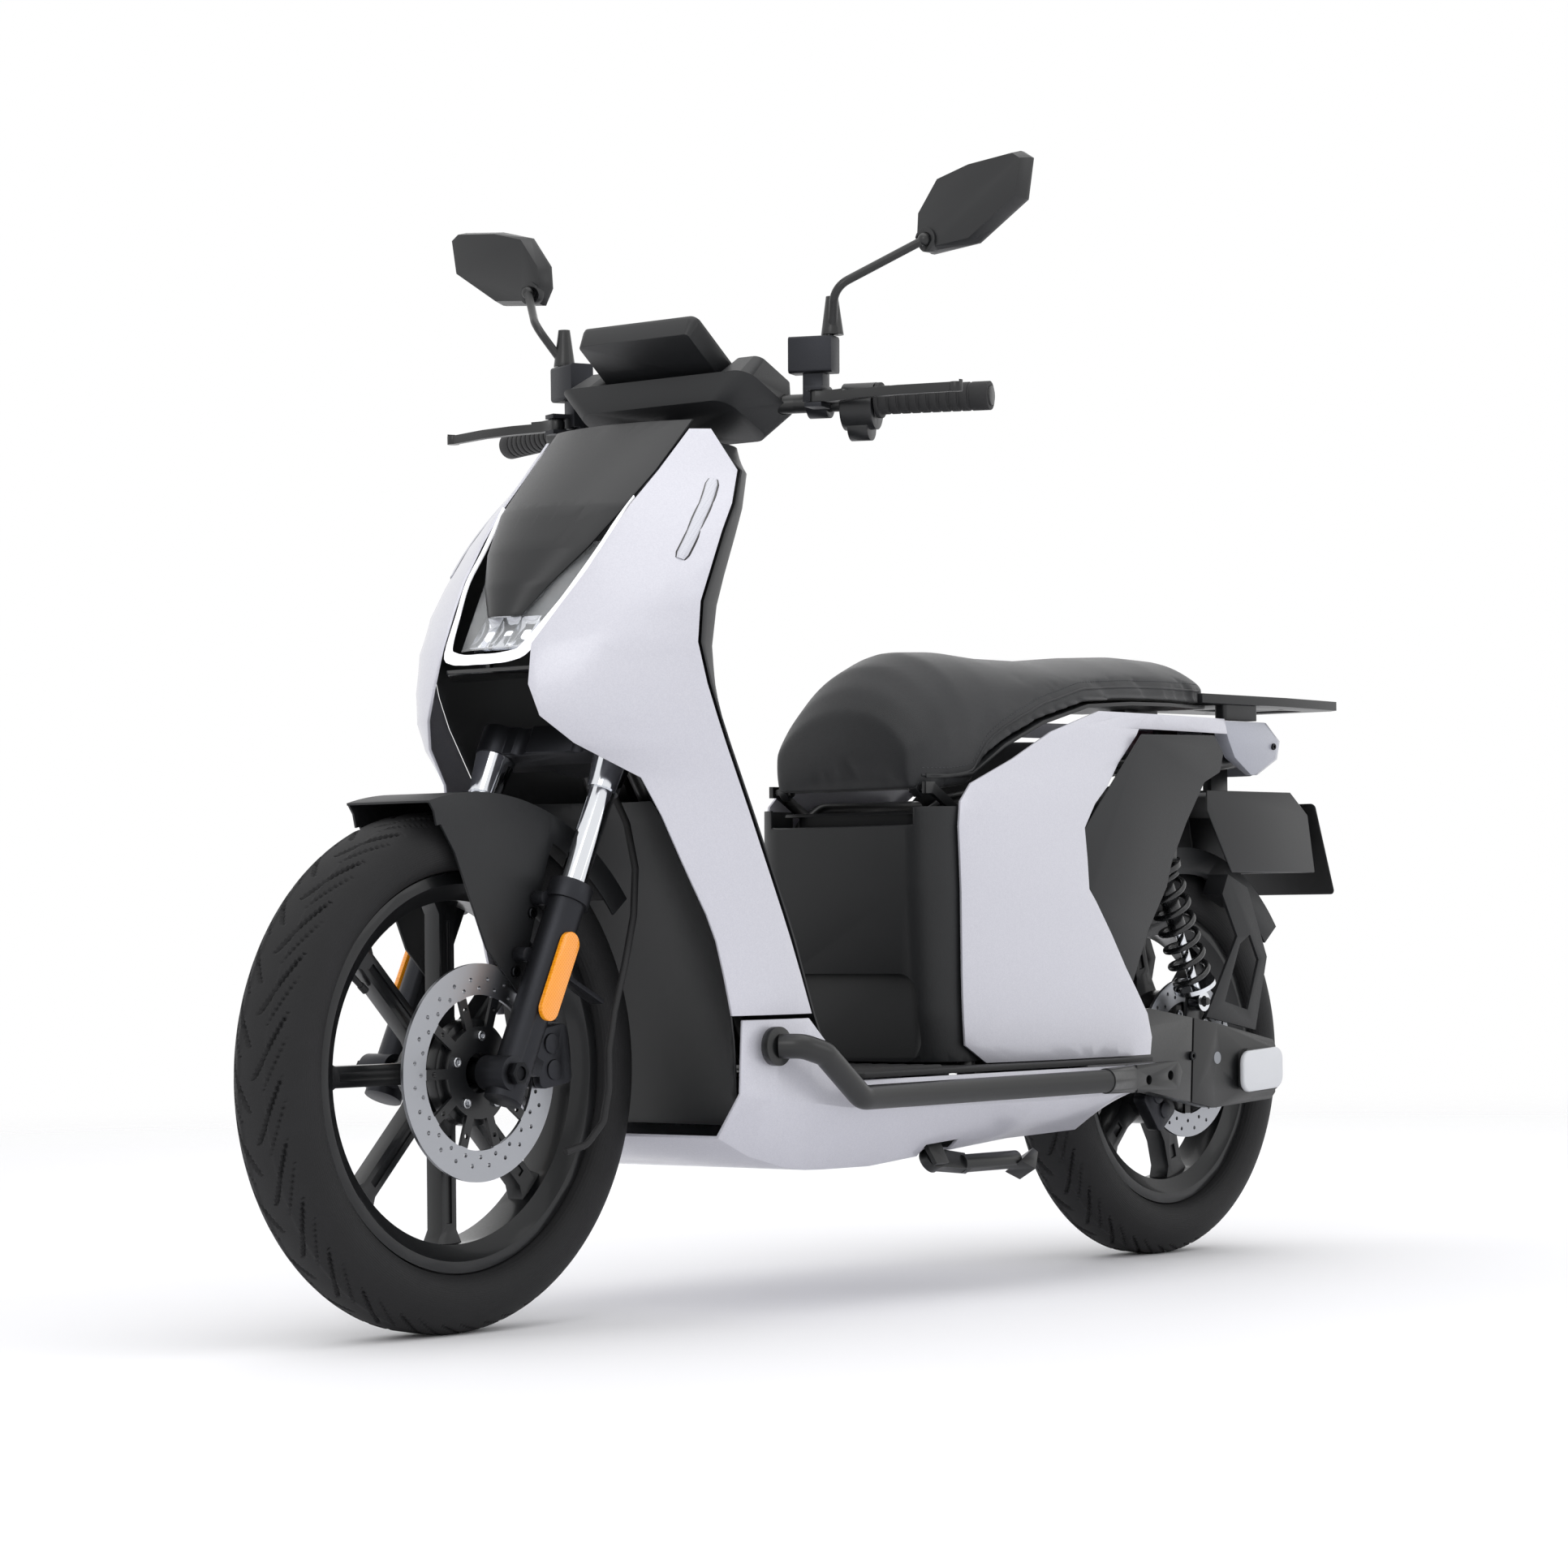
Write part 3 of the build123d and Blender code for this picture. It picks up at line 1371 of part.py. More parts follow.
bucket_shape = cross_skin([(z, (x - 34, y - 6), m - 46) for z, (x, y), m in lens_stations], panel_wall)
with BuildPart() as nose_inner_panel:
    add(bucket_shape)
    with BuildSketch(Plane.XY.offset(722)):
        with BuildLine():
            Polyline(
                (front(-80), 62), (front(-200), 168), (front(-222), 168), (front(-206), 60),
                (front(-206), -60), (front(-222), -168), (front(-200), -168), (front(-80), -62), close=True,
            )
        make_face()
    extrude(amount=4)
    with BuildSketch(Plane.XY.offset(724)):
        with Locations((front(-121), 40), (front(-121), -40)):
            Rectangle(6, 16)
    extrude(amount=24)
nose_inner_panel.part.label = "nose_inner_panel"
export_step(nose_inner_panel.part, "parts/nose_inner_panel.step")

inner_stations = [
    (985, (-319, 127), -440),
    (950, (-321, 166), -424),
    (909, (-287, 186), -404),
    (877, (-259, 195), -388),
    (830, (-229, 202), -364),
    (795, (-209, 205), -350),
    (750, (-204, 205), -340),
    (705, (-218, 206), -336),
    (670, (-234, 206), -334),
    (640, (-251, 204), -334),
    (602, (-273, 202), -338),
    (560, (-297, 200), -352),
    (511, (-325, 197), -366),
    (421, (-376, 191), -405),
    (338, (-415, 186), -440),
    (276, (-452, 180), -468),
]
inner_shape = cross_skin([(z, (front(x), y), front(m)) for z, (x, y), m in inner_stations], panel_wall)
with BuildPart() as inner_leg_shield:
    add(inner_shape)
inner_leg_shield.part.label = "inner_leg_shield"
export_step(inner_leg_shield.part, "parts/inner_leg_shield.step")

fairing_stations = [
    (580, (-181, 147), -288),
    (560, (-190, 155), -298),
    (511, (-212, 164), -312),
    (421, (-263, 170), -331),
    (338, (-286, 172), -338),
    (250, (-304, 164), -335),
    (214, (-318, 150), -332),
]
fairing_shape = cross_skin([(z, (front(x), y), front(m)) for z, (x, y), m in fairing_stations], panel_wall)
with BuildPart() as lower_fairing:
    add(fairing_shape)
lower_fairing.part.label = "lower_fairing"
export_step(lower_fairing.part, "parts/lower_fairing.step")

# ---------------------------------------------------------------- floor
tub_wall = 3.5
tub_stations = [
    # x, top edge, widest point, bottom corner, each as (y, z)
    (front(-300), (178, 333), (174, 250), (140, 200)),
    (front(-345), (188, 333), (188, 242), (146, 178)),
    (front(-404), (189, 333), (196, 236), (148, 163)),
    (front(-446), (192, 292), (200, 231), (147, 158)),
    (front(-478), (195, floor_height - 2), (203, 228), (146, 157)),
    (front(-570), (199, floor_height - 2), (204, 225), (141, 156)),
    (rear(503), (199, floor_height - 2), (203, 222), (137, 176)),
    (rear(351), (193, floor_height - 2), (197, 224), (132, 180)),
    (rear(305), (190, floor_height - 2), (194, 228), (130, 204)),
    (rear(270), (187, floor_height - 2), (190, 240), (127, 231)),
]
with BuildPart() as lower_body_tub:
    for x, top, wide, low in tub_stations:
        rim = Plane.YZ.offset(x)
        with BuildSketch(rim):
            with BuildLine():
                Polyline(
                    top, wide, low, (-low[0], low[1]), (-wide[0], wide[1]), (-top[0], top[1]),
                    (tub_wall - top[0], top[1]), (tub_wall - wide[0], wide[1] + 1),
                    (tub_wall * 0.7 - low[0], low[1] + tub_wall),
                    (low[0] - tub_wall * 0.7, low[1] + tub_wall), (wide[0] - tub_wall, wide[1] + 1),
                    (top[0] - tub_wall, top[1]), close=True,
                )
            make_face()
    loft(ruled=True)
    # Slot for the side stand bracket.
    with BuildSketch(Plane.XY.offset(140)):
        with Locations((stand_x, 132)):
            Rectangle(64, 44)
    extrude(amount=80, mode=Mode.SUBTRACT)
lower_body_tub.part.label = "lower_body_tub"
export_step(lower_body_tub.part, "parts/lower_body_tub.step")

with BuildPart() as floorboard:
    with BuildSketch(Plane.XY.offset(floor_height)):
        with BuildLine():
            Polyline(
                (front(-446), 170), (front(-486), 184), (front(-490), floor_half_width),
                (rear(351), floor_half_width - 2), (rear(262), floor_half_width - 10),
                (rear(262), -floor_half_width + 10), (rear(351), -floor_half_width + 2),
                (front(-490), -floor_half_width), (front(-486), -184), (front(-446), -170), close=True,
            )
        make_face()
    extrude(amount=floor_thick)
    with BuildSketch(Plane.XY.offset(floor_top)):
        with GridLocations(0, 26, 1, 13):
            with Locations(((front(-500) + rear(660)) / 2, 0)):
                Rectangle(front(-500) - rear(660), 12)
    extrude(amount=3)
    # Clearance for the rising frame tubes.
    for out in (1, -1):
        with BuildSketch(Plane.XY.offset(floor_height)):
            with Locations((rear(571), out * rail_y), (rear(333), out * rail_y)):
                Rectangle(44, 34)
            with Locations((rear(300), 0)):
                Rectangle(90, 2 * 124)
        extrude(amount=floor_thick, mode=Mode.SUBTRACT)
floorboard.part.label = "floorboard"
export_step(floorboard.part, "parts/floorboard.step")

rail_path = [
    (front(-340), 198, 303),
    (front(-354), 220, 303),
    (front(-380), 230, 294),
    (front(-446), 231, 242),
    (rear(420), 231, 244),
]
rail_tube = tube(rail_path, 14.0, 22)
with BuildPart() as side_rail:
    add(rail_tube)
    with BuildSketch(side.offset(-191)):
        with Locations((front(-338), 303)):
            Circle(22)
    extrude(amount=-9)
    with BuildSketch(Plane.YZ.offset(rear(424))):
        with Locations((231, 244)):
            Circle(15.5)
    with BuildSketch(Plane.YZ.offset(rear(352))):
        with Locations((219, 244)):
            RectangleRounded(18, 34, 6)
    loft()
    with BuildSketch(side.offset(-210)):
        with BuildLine():
            Polyline(
                (rear(352), 261), (rear(262), 263), (rear(254), 250), (rear(262), 228), (rear(352), 227),
                close=True,
            )
        make_face()
    extrude(amount=-18)
    with BuildSketch(side.offset(-200)):
        with Locations((rear(327), 242), (rear(280), 246)):
            Circle(6)
    extrude(amount=-40, mode=Mode.SUBTRACT)
    with BuildSketch(side.offset(-205)):
        with Locations((rear(303), 244)):
            Circle(8)
    extrude(amount=-10)
side_rail_shape = side_rail.part
with BuildPart() as side_rails:
    add(side_rail_shape)
    add(mirror(side_rail_shape, about=Plane.XZ))
side_rails.part.label = "side_rails"
export_step(side_rails.part, "parts/side_rails.step")

# ---------------------------------------------------------------- rear body
box_top = seat(578)
bin_floor = seat(400)
box_wall = 3.0


def box_plan(height, front_x, half, corner, rear_x):
    """The under-seat body's plan at one height: a rounded front and straight sides."""
    with BuildSketch(Plane.XY.offset(height)) as plan:
        with BuildLine():
            Polyline((rear_x, half), (front_x - corner, half))
            ThreePointArc(
                (front_x - corner, half),
                (front_x - corner * 0.2929, half - corner * 0.2929),
                (front_x, half - corner),
            )
            Line((front_x, half - corner), (front_x, corner - half))
            ThreePointArc(
                (front_x, corner - half),
                (front_x - corner * 0.2929, corner * 0.2929 - half),
                (front_x - corner, -half),
            )
            Line((front_x - corner, -half), (rear_x, -half))
            Line((rear_x, -half), (rear_x, half))
        make_face()
    return plan.sketch


cover_rear = rear(562)
box_levels = (
    (floor_top + 4, 627, 145), (floor_top + 60, 636, 146), (seat(480), 645, 146), (box_top, 645, 145),
)
with BuildPart() as underseat_body:
    for height, x, half in box_levels:
        add(box_plan(height, rear(x), half, 48, cover_rear))
    loft(ruled=True)
    for height, x, half in box_levels:
        add(box_plan(height, rear(x) - box_wall, half - box_wall, 45, cover_rear - 1))
    loft(ruled=True, mode=Mode.SUBTRACT)
    # Arched step recess, low on the front face.
    with BuildSketch(Plane.YZ.offset(rear(660))):
        with Locations((0, floor_top + 58)):
            RectangleRounded(216, 104, 26)
    extrude(amount=-60, mode=Mode.SUBTRACT)
    with BuildSketch(Plane.YZ.offset(rear(628))):
        with Locations((0, floor_top + 58)):
            RectangleRounded(222, 108, 28)
    extrude(amount=-7)
    # Storage bin and its rim.
    with BuildSketch(Plane.XY.offset(box_top - 8)):
        with Locations(((rear(634) + rear(300)) / 2, 0)):
            RectangleRounded(rear(634) - rear(300), 2 * bin_half_width, 30)
    extrude(amount=4)
    with BuildSketch(Plane.XY.offset(bin_floor)):
        with Locations(((rear(612) + rear(304)) / 2, 0)):
            RectangleRounded(rear(612) - rear(304), 2 * bin_half_width - 6, 34)
    extrude(amount=box_top - 8 - bin_floor)
    with BuildSketch(Plane.XY.offset(bin_floor + box_wall)):
        with Locations(((rear(612) + rear(304)) / 2, 0)):
            RectangleRounded(rear(612) - rear(304) - 6, 2 * bin_half_width - 12, 31)
    extrude(amount=box_top - bin_floor, mode=Mode.SUBTRACT)
    # Scoop that clears the seat's lip.
    with BuildSketch(side.offset(-110)):
        with BuildLine():
            Polyline(
                (rear(650), box_top - 26), (rear(650), box_top + 10),
                (rear(600), box_top + 10), (rear(618), box_top - 8), close=True,
            )
        make_face()
    extrude(amount=220, mode=Mode.SUBTRACT)
    # Reliefs for the hinge ears.
    for out in (1, -1):
        with BuildSketch(Plane.XY.offset(box_top - 30)):
            with Locations((rear(590), out * 119)):
                Rectangle(76, 12)
        extrude(amount=60, mode=Mode.SUBTRACT)
underseat_body.part.label = "underseat_body"
export_step(underseat_body.part, "parts/underseat_body.step")

battery_size = (250.0, 176.0, 96.0)
battery_x = rear(470)
with BuildPart() as battery_pack:
    with BuildSketch(Plane.XY.offset(floor_top + 5)):
        with Locations((battery_x, 0)):
            RectangleRounded(battery_size[0], battery_size[1], 12)
    extrude(amount=battery_size[2])
    fillet(battery_pack.faces().sort_by(Axis.Z)[-1].edges(), 5)
    with BuildSketch(Plane.XY.offset(floor_top + 5 + battery_size[2])):
        with Locations((battery_x + 60, 0), (battery_x - 60, 0)):
            Rectangle(14, 30)
    extrude(amount=9)
    with BuildSketch(Plane.XY.offset(floor_top + 5 + battery_size[2] + 6)):
        with Locations((battery_x, 0)):
            RectangleRounded(134, 22, 6)
    extrude(amount=8)
battery_pack.part.label = "battery_pack"
export_step(battery_pack.part, "parts/battery_pack.step")

panel_low = floor_top + 1.5
rear_stations = [
    (panel_low, (560, 153), (400, 167), (222, 158)),
    (panel_low + 22, (600, 152), (410, 169), (220, 159)),
    (380, (604, 152), (430, 169), (282, 164)),
    (463, (604, 152), (460, 168), (347, 166)),
    (478, (604, 152), (470, 168), (361, 166)),
    (554, (606, 151), (480, 163), (362, 161)),
    (seat(584), (601, 150), (470, 160), (334, 157)),
    (seat(606), (577, 148), (440, 156), (300, 152)),
    (seat(637), (491, 147), (380, 148), (265, 145)),
    (seat(673), (400, 140), (300, 139), (212, 136)),
    (seat(682), (364, 137), (280, 136), (200, 132)),
]
rear_shape = side_skin([(z, *[(rear(x), y) for x, y in p]) for z, *p in rear_stations], panel_wall)
strip_stations = [
    (seat(682), (364, 137), (160, 130), (-34, 110)),
    (seat(702), (286, 131), (130, 125), (-34, 106)),
]
strip_shape = side_skin([(z, *[(rear(x), y) for x, y in p]) for z, *p in strip_stations], panel_wall)
with BuildPart() as rear_side_panels:
    add(rear_shape)
    add(mirror(rear_shape, about=Plane.XZ))
    add(strip_shape)
    add(mirror(strip_shape, about=Plane.XZ))
rear_side_panels.part.label = "rear_side_panels"
export_step(rear_side_panels.part, "parts/rear_side_panels.step")

insert_plane = Plane(
    origin=(rear(362), 158, 0), x_dir=(-355, -30, 0), z_dir=(-30, 355, 0)
)
insert_outline = [
    (4, 470),
    (4, 552),
    (150, seat(674)),
    (338, seat(678)),
    (362, seat(656)),
    (352, seat(630)),
    (310, seat(616)),
    (262, 564),
    (222, 512),
    (208, 480),
    (158, 424),
    (114, 352),
    (18, 462),
]
with BuildPart() as insert_left:
    with BuildSketch(insert_plane):
        with BuildLine():
            Polyline(*[(x, z if insert_plane.y_dir.Z > 0 else -z) for x, z in insert_outline], close=True)
        make_face()
    extrude(amount=-panel_wall)
insert_shape = insert_left.part
with BuildPart() as rear_inserts:
    add(insert_shape)
    add(mirror(insert_shape, about=Plane.XZ))
rear_inserts.part.label = "rear_inserts"
export_step(rear_inserts.part, "parts/rear_inserts.step")

tail_levels = (
    (seat(630), 96, -110, -158), (seat(652), 104, -60, -196),
    (seat(676), 106, -42, -200), (seat(700), 100, -40, -176),
)
with BuildPart() as tail_housing:
    for z, half, x_front, x_rear in tail_levels:
        with BuildSketch(Plane.XY.offset(z)):
            with BuildLine():
                Polyline((rear(x_front), half), (rear(x_rear + 40), half))
                ThreePointArc(
                    (rear(x_rear + 40), half), (rear(x_rear + 6), half - 22), (rear(x_rear), 0)
                )
                ThreePointArc(
                    (rear(x_rear), 0), (rear(x_rear + 6), 22 - half), (rear(x_rear + 40), -half)
                )
                Line((rear(x_rear + 40), -half), (rear(x_front), -half))
                Line((rear(x_front), -half), (rear(x_front), half))
            make_face()
    loft(ruled=True)
    with BuildSketch(Plane.XY.offset(seat(622))):
        with Locations((rear(-96), 0)):
            RectangleRounded(128, 176, 20)
    extrude(amount=seat(694) - seat(622), mode=Mode.SUBTRACT)
    with BuildSketch(Plane.YZ.offset(rear(-230))):
        with Locations((0, seat(665))):
            SlotOverall(150, 26)
    extrude(amount=90, mode=Mode.SUBTRACT)
    with BuildSketch(Plane.XY.offset(seat(693))):
        with Locations((rear(-30), 0)):
            Rectangle(60, 2 * 90)
    extrude(amount=20, mode=Mode.SUBTRACT)
tail_housing.part.label = "tail_housing"
export_step(tail_housing.part, "parts/tail_housing.step")

with BuildPart() as tail_lamp_lens:
    with BuildSketch(Plane.YZ.offset(rear(-196))):
        with Locations((0, seat(665))):
            SlotOverall(149, 25)
    extrude(amount=34)
    with BuildSketch(Plane.YZ.offset(rear(-190))):
        with Locations((0, seat(665))):
            SlotOverall(143, 19)
    extrude(amount=30, mode=Mode.SUBTRACT)
tail_lamp_lens.part.label = "tail_lamp_lens"
export_step(tail_lamp_lens.part, "parts/tail_lamp_lens.step")

rack_z = seat(722)
rack_thick = 12.0
rack_centre = rear(-190)
with BuildPart() as luggage_rack:
    with BuildSketch(Plane.XY.offset(rack_z)):
        with BuildLine():
            Polyline(
                (rear(-56), rack_half_width), (rear(-180), rack_half_width),
                (rear(-330), rack_half_width - 16), (rear(-rack_overhang), rack_half_width - 34),
                (rear(-rack_overhang), 34 - rack_half_width), (rear(-330), 16 - rack_half_width),
                (rear(-180), -rack_half_width), (rear(-56), -rack_half_width), close=True,
            )
        make_face()
        with Locations((rear(-22), rack_half_width - 4), (rear(-22), 4 - rack_half_width)):
            Rectangle(84, 8)
        with Locations((rear(-290), 0)):
            RectangleRounded(60, 96, 14, mode=Mode.SUBTRACT)
        with Locations((rack_centre, 0)):
            RectangleRounded(56, 70, 12, mode=Mode.SUBTRACT)
            with GridLocations(rack_bolt_x, rack_bolt_y, 2, 2):
                Circle(rack_bolt_r, mode=Mode.SUBTRACT)
    extrude(amount=rack_thick)
    for out in (1, -1):
        with BuildSketch(Plane.XY.offset(seat(702.5))):
            with Locations((rear(-100), out * 80)):
                RectangleRounded(80, 18, 6)
        extrude(amount=rack_z - seat(702.5))
luggage_rack.part.label = "luggage_rack"
export_step(luggage_rack.part, "parts/luggage_rack.step")

guard_top = rear_tyre_r + 350
guard_half = hugger_half + 30 + panel_wall + 2
plate_lean = 21.0
plate_plane = Plane(
    origin=(rear(-262), 0, 592), x_dir=(0, 1, 0), z_dir=(-cos(radians(plate_lean)), 0, sin(radians(plate_lean)))
)
with BuildPart() as rear_mudguard:
    with BuildSketch(side.offset(-guard_half)):
        with BuildLine():
            Polyline(
                (rear(-4), 582), (rear(-4), guard_top), (rear(-204), guard_top), (rear(-246), guard_top - 30),
                (rear(-262), 500), (rear(-206), 500), (rear(-60), 500), close=True,
            )
        make_face()
    extrude(amount=2 * guard_half)
    with BuildSketch(side.offset(3 - guard_half)):
        with BuildLine():
            Polyline(
                (rear(0), 500), (rear(0), guard_top - 3),
                (rear(-202), guard_top - 3), (rear(-241), guard_top - 30),
                (rear(-257), 498), (rear(-206), 490), (rear(0), 490), close=True,
            )
        make_face()
    extrude(amount=2 * guard_half - 6, mode=Mode.SUBTRACT)
    with BuildSketch(Plane.XY.offset(guard_top)):
        with Locations((rear(-108), 40), (rear(-108), -40)):
            Rectangle(40, 14)
    extrude(amount=seat(693.5) - guard_top)
rear_mudguard.part.label = "rear_mudguard"
export_step(rear_mudguard.part, "parts/rear_mudguard.step")

with BuildPart() as number_plate:
    with BuildSketch(plate_plane.offset(4)):
        with Locations((0, -66 if plate_plane.y_dir.Z > 0 else 66)):
            RectangleRounded(190, 132, 7)
    extrude(amount=2)
number_plate.part.label = "number_plate"
export_step(number_plate.part, "parts/number_plate.step")

# ---------------------------------------------------------------- seat
seat_profile = [
    # x, underside, edge of the upholstery, half width, crown height
    (646, 613, 640, 104, 690),
    (622, 613, 650, 118, 724),
    (590, 613, 660, 126, 752),
    (545, 616, 668, 130, 770),
    (480, 652, 690, 131, 771),
    (400, 682, 704, 130, 766),
    (300, 706, 722, 128, 766),
    (200, 712, 730, 124, 774),
    (100, 714, 736, 114, 779),
    (10, 714, 738, 96, 777),
    (-34, 716, 740, 78, 768),
    (-48, 720, 738, 64, 750),
]
pan_drop = 5.0
with BuildPart() as seat_cushion:
    for x, low, edge, half, crown in seat_profile:
        with BuildSketch(Plane.YZ.offset(rear(x))):
            with BuildLine():
                Polyline((-half, seat(low + pan_drop)), (half, seat(low + pan_drop)), (half, seat(edge)))
                ThreePointArc((half, seat(edge)), (0, seat(crown)), (-half, seat(edge)))
                Line((-half, seat(edge)), (-half, seat(low + pan_drop)))
            make_face()
    loft(ruled=True)
seat_cushion.part.label = "seat_cushion"
export_step(seat_cushion.part, "parts/seat_cushion.step")

with BuildPart() as seat_pan:
    for x, low, edge, half, crown in seat_profile[1:-1]:
        with BuildSketch(Plane.YZ.offset(rear(x))):
            with BuildLine():
                Polyline(
                    (-half + 3, seat(low)), (half - 3, seat(low)), (half - 3, seat(low + pan_drop - 0.4)),
                    (-half + 3, seat(low + pan_drop - 0.4)), close=True,
                )
            make_face()
    loft(ruled=True)
    for out in (1, -1):
        with BuildSketch(side.offset(-out * 96)):
            with BuildLine():
                Polyline(
                    (rear(seat_hinge_x - 11), seat(616)), (rear(seat_hinge_x + 2), seat(616)),
                    (rear(seat_hinge_x + 10), seat(600)), (rear(seat_hinge_x), seat(590)),
                    (rear(seat_hinge_x - 11), seat(600)), close=True,
                )
            make_face()
        extrude(amount=-out * 12)
        with BuildSketch(side.offset(-out * 90)):
            with Locations((rear(seat_hinge_x), seat(600))):
                Circle(seat_hinge_r + run_fit)
        extrude(amount=-out * 24, mode=Mode.SUBTRACT)
    # Latch loop under the tail.
    with BuildSketch(side.offset(-12)):
        with BuildLine():
            Polyline(
                (rear(60), seat(714)), (rear(60), seat(684)),
                (rear(30), seat(684)), (rear(30), seat(714)), close=True,
            )
        make_face()
        with Locations((rear(45), seat(700))):
            Rectangle(18, 16, mode=Mode.SUBTRACT)
    extrude(amount=24)
seat_pan.part.label = "seat_pan"
export_step(seat_pan.part, "parts/seat_pan.step")

# ---------------------------------------------------------------- side stand
with BuildPart() as side_stand:
    with BuildSketch(stand_plane.offset(-6)):
        Circle(stand_pin_r + 9)
        with BuildLine():
            Polyline((0, 13), (-60, 2), (-60, -20), (0, -13), close=True)
        make_face()
    extrude(amount=12)
    with BuildSketch(Plane(origin=stand_plane.from_local_coords((-50, -9, 0)), z_dir=(-1, 0, 0))):
        Circle(stand_r)
    extrude(amount=stand_length - 66)
    with BuildSketch(stand_plane.offset(-14)):
        with BuildLine():
            Polyline(
                (26 - stand_length, -18), (-stand_length - 10, -2), (-stand_length - 16, -8),
                (4 - stand_length, -30), close=True,
            )
        make_face()
    extrude(amount=28)
    with BuildSketch(stand_plane.offset(-16)):
        Circle(stand_pin_r + run_fit)
    extrude(amount=40, mode=Mode.SUBTRACT)
side_stand.part.label = "side_stand"
export_step(side_stand.part, "parts/side_stand.step")
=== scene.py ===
import json
import math

import bmesh
import bpy
import numpy as np
from mathutils import Matrix, Vector
from mathutils.bvhtree import BVHTree


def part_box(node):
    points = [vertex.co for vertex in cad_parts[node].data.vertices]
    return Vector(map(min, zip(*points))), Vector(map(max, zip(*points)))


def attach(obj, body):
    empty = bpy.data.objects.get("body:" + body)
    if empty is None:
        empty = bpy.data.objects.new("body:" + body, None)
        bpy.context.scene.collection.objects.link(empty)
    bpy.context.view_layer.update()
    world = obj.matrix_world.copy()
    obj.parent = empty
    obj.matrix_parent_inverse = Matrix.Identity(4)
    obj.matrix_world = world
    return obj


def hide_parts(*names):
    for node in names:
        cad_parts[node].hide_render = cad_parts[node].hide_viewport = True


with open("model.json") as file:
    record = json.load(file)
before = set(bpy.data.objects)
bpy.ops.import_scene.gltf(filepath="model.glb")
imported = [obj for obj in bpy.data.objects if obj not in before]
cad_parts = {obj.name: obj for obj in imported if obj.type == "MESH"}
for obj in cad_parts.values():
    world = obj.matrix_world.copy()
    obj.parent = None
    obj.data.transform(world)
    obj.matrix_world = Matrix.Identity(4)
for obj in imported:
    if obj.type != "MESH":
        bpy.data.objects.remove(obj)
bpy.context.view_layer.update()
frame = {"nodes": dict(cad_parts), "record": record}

bl_info = {
    "name": "Moped Scooter",
    "version": (1, 0, 0),
    "blender": (4, 5, 0),
    "location": "View3D > Sidebar > Scooter",
    "description": "Builds the finishes and soft parts of an electric moped scooter",
    "category": "Object",
}

BODY_OF = {n: b for b, members in frame["record"]["behaviour"]["bodies"].items() for n in members}
JOINTS = {j["name"]: j for j in frame["record"]["behaviour"]["joints"]}
FRONT_AXLE = Vector(JOINTS["front_wheel_spin"]["pos_m"])
REAR_AXLE = Vector(JOINTS["rear_wheel_spin"]["pos_m"])


def linear(colour):
    """Linear RGB of an sRGB hex colour."""
    values = [int(colour[i : i + 2], 16) / 255 for i in (1, 3, 5)]
    return tuple(v / 12.92 if v <= 0.04045 else ((v + 0.055) / 1.055) ** 2.4 for v in values)


def from_front(x, y, z):
    """A point in metres from millimetres ahead of the front axle, left and up."""
    return Vector((FRONT_AXLE.x + x / 1000, y / 1000, z / 1000))


def from_rear(x, y, z):
    """A point in metres from millimetres ahead of the rear axle, left and up."""
    return Vector((REAR_AXLE.x + x / 1000, y / 1000, z / 1000))


# ---------------------------------------------------------------- material helpers
def add(tree, kind, inputs=None, links=None, **settings):
    """Adds a node with its settings, its constants and its links."""
    node = tree.nodes.new(kind)
    for name, value in settings.items():
        setattr(node, name, value)
    for name, value in (inputs or {}).items():
        node.inputs[name].default_value = value
    for name, socket in (links or {}).items():
        tree.links.new(socket, node.inputs[name])
    return node


def new_material(name):
    """An empty node material and its tree, with a material output."""
    material = bpy.data.materials.new(name)
    material.use_nodes = True
    material.node_tree.nodes.clear()
    return material, material.node_tree


def close_material(tree, shader):
    """Joins a shader to the material's output."""
    add(tree, "ShaderNodeOutputMaterial", links={"Surface": shader})


def surface(material, constants, links):
    """Ends a material in one Principled surface and hands the material back."""
    tree = material.node_tree
    close_material(tree, add(tree, "ShaderNodeBsdfPrincipled", constants, links).outputs["BSDF"])
    return material


def place(tree):
    """Object coordinates of the piece."""
    return add(tree, "ShaderNodeTexCoord").outputs["Object"]


def axle_distance(tree, where, axle):
    """Distance from a wheel's axle."""
    centred = add(tree, "ShaderNodeVectorMath", {1: axle}, {0: where}, operation="SUBTRACT")
    flat = add(
        tree, "ShaderNodeVectorMath", {1: (1, 0, 1)}, {0: centred.outputs[0]}, operation="MULTIPLY"
    )
    return add(
        tree, "ShaderNodeVectorMath", links={0: flat.outputs[0]}, operation="LENGTH"
    ).outputs["Value"]


def noise(tree, vector, size_mm, detail=2.0):
    """Noise whose blotches are about size_mm across."""
    return add(
        tree, "ShaderNodeTexNoise", {"Scale": 1000 / size_mm, "Detail": detail}, {"Vector": vector}
    ).outputs["Fac"]


def blend_colours(tree, factor, first, second):
    """Two sRGB colours mixed by a factor."""
    mix = add(tree, "ShaderNodeMix", data_type="RGBA", links={"Factor": factor})
    for socket in mix.inputs:
        if socket.type == "RGBA":
            socket.default_value = (*linear(first if socket.name == "A" else second), 1)
    return next(socket for socket in mix.outputs if socket.type == "RGBA")


def spread(tree, value, low, high):
    """A 0 to 1 value spread over a range."""
    return add(
        tree, "ShaderNodeMapRange", {"To Min": low, "To Max": high}, {"Value": value}
    ).outputs["Result"]


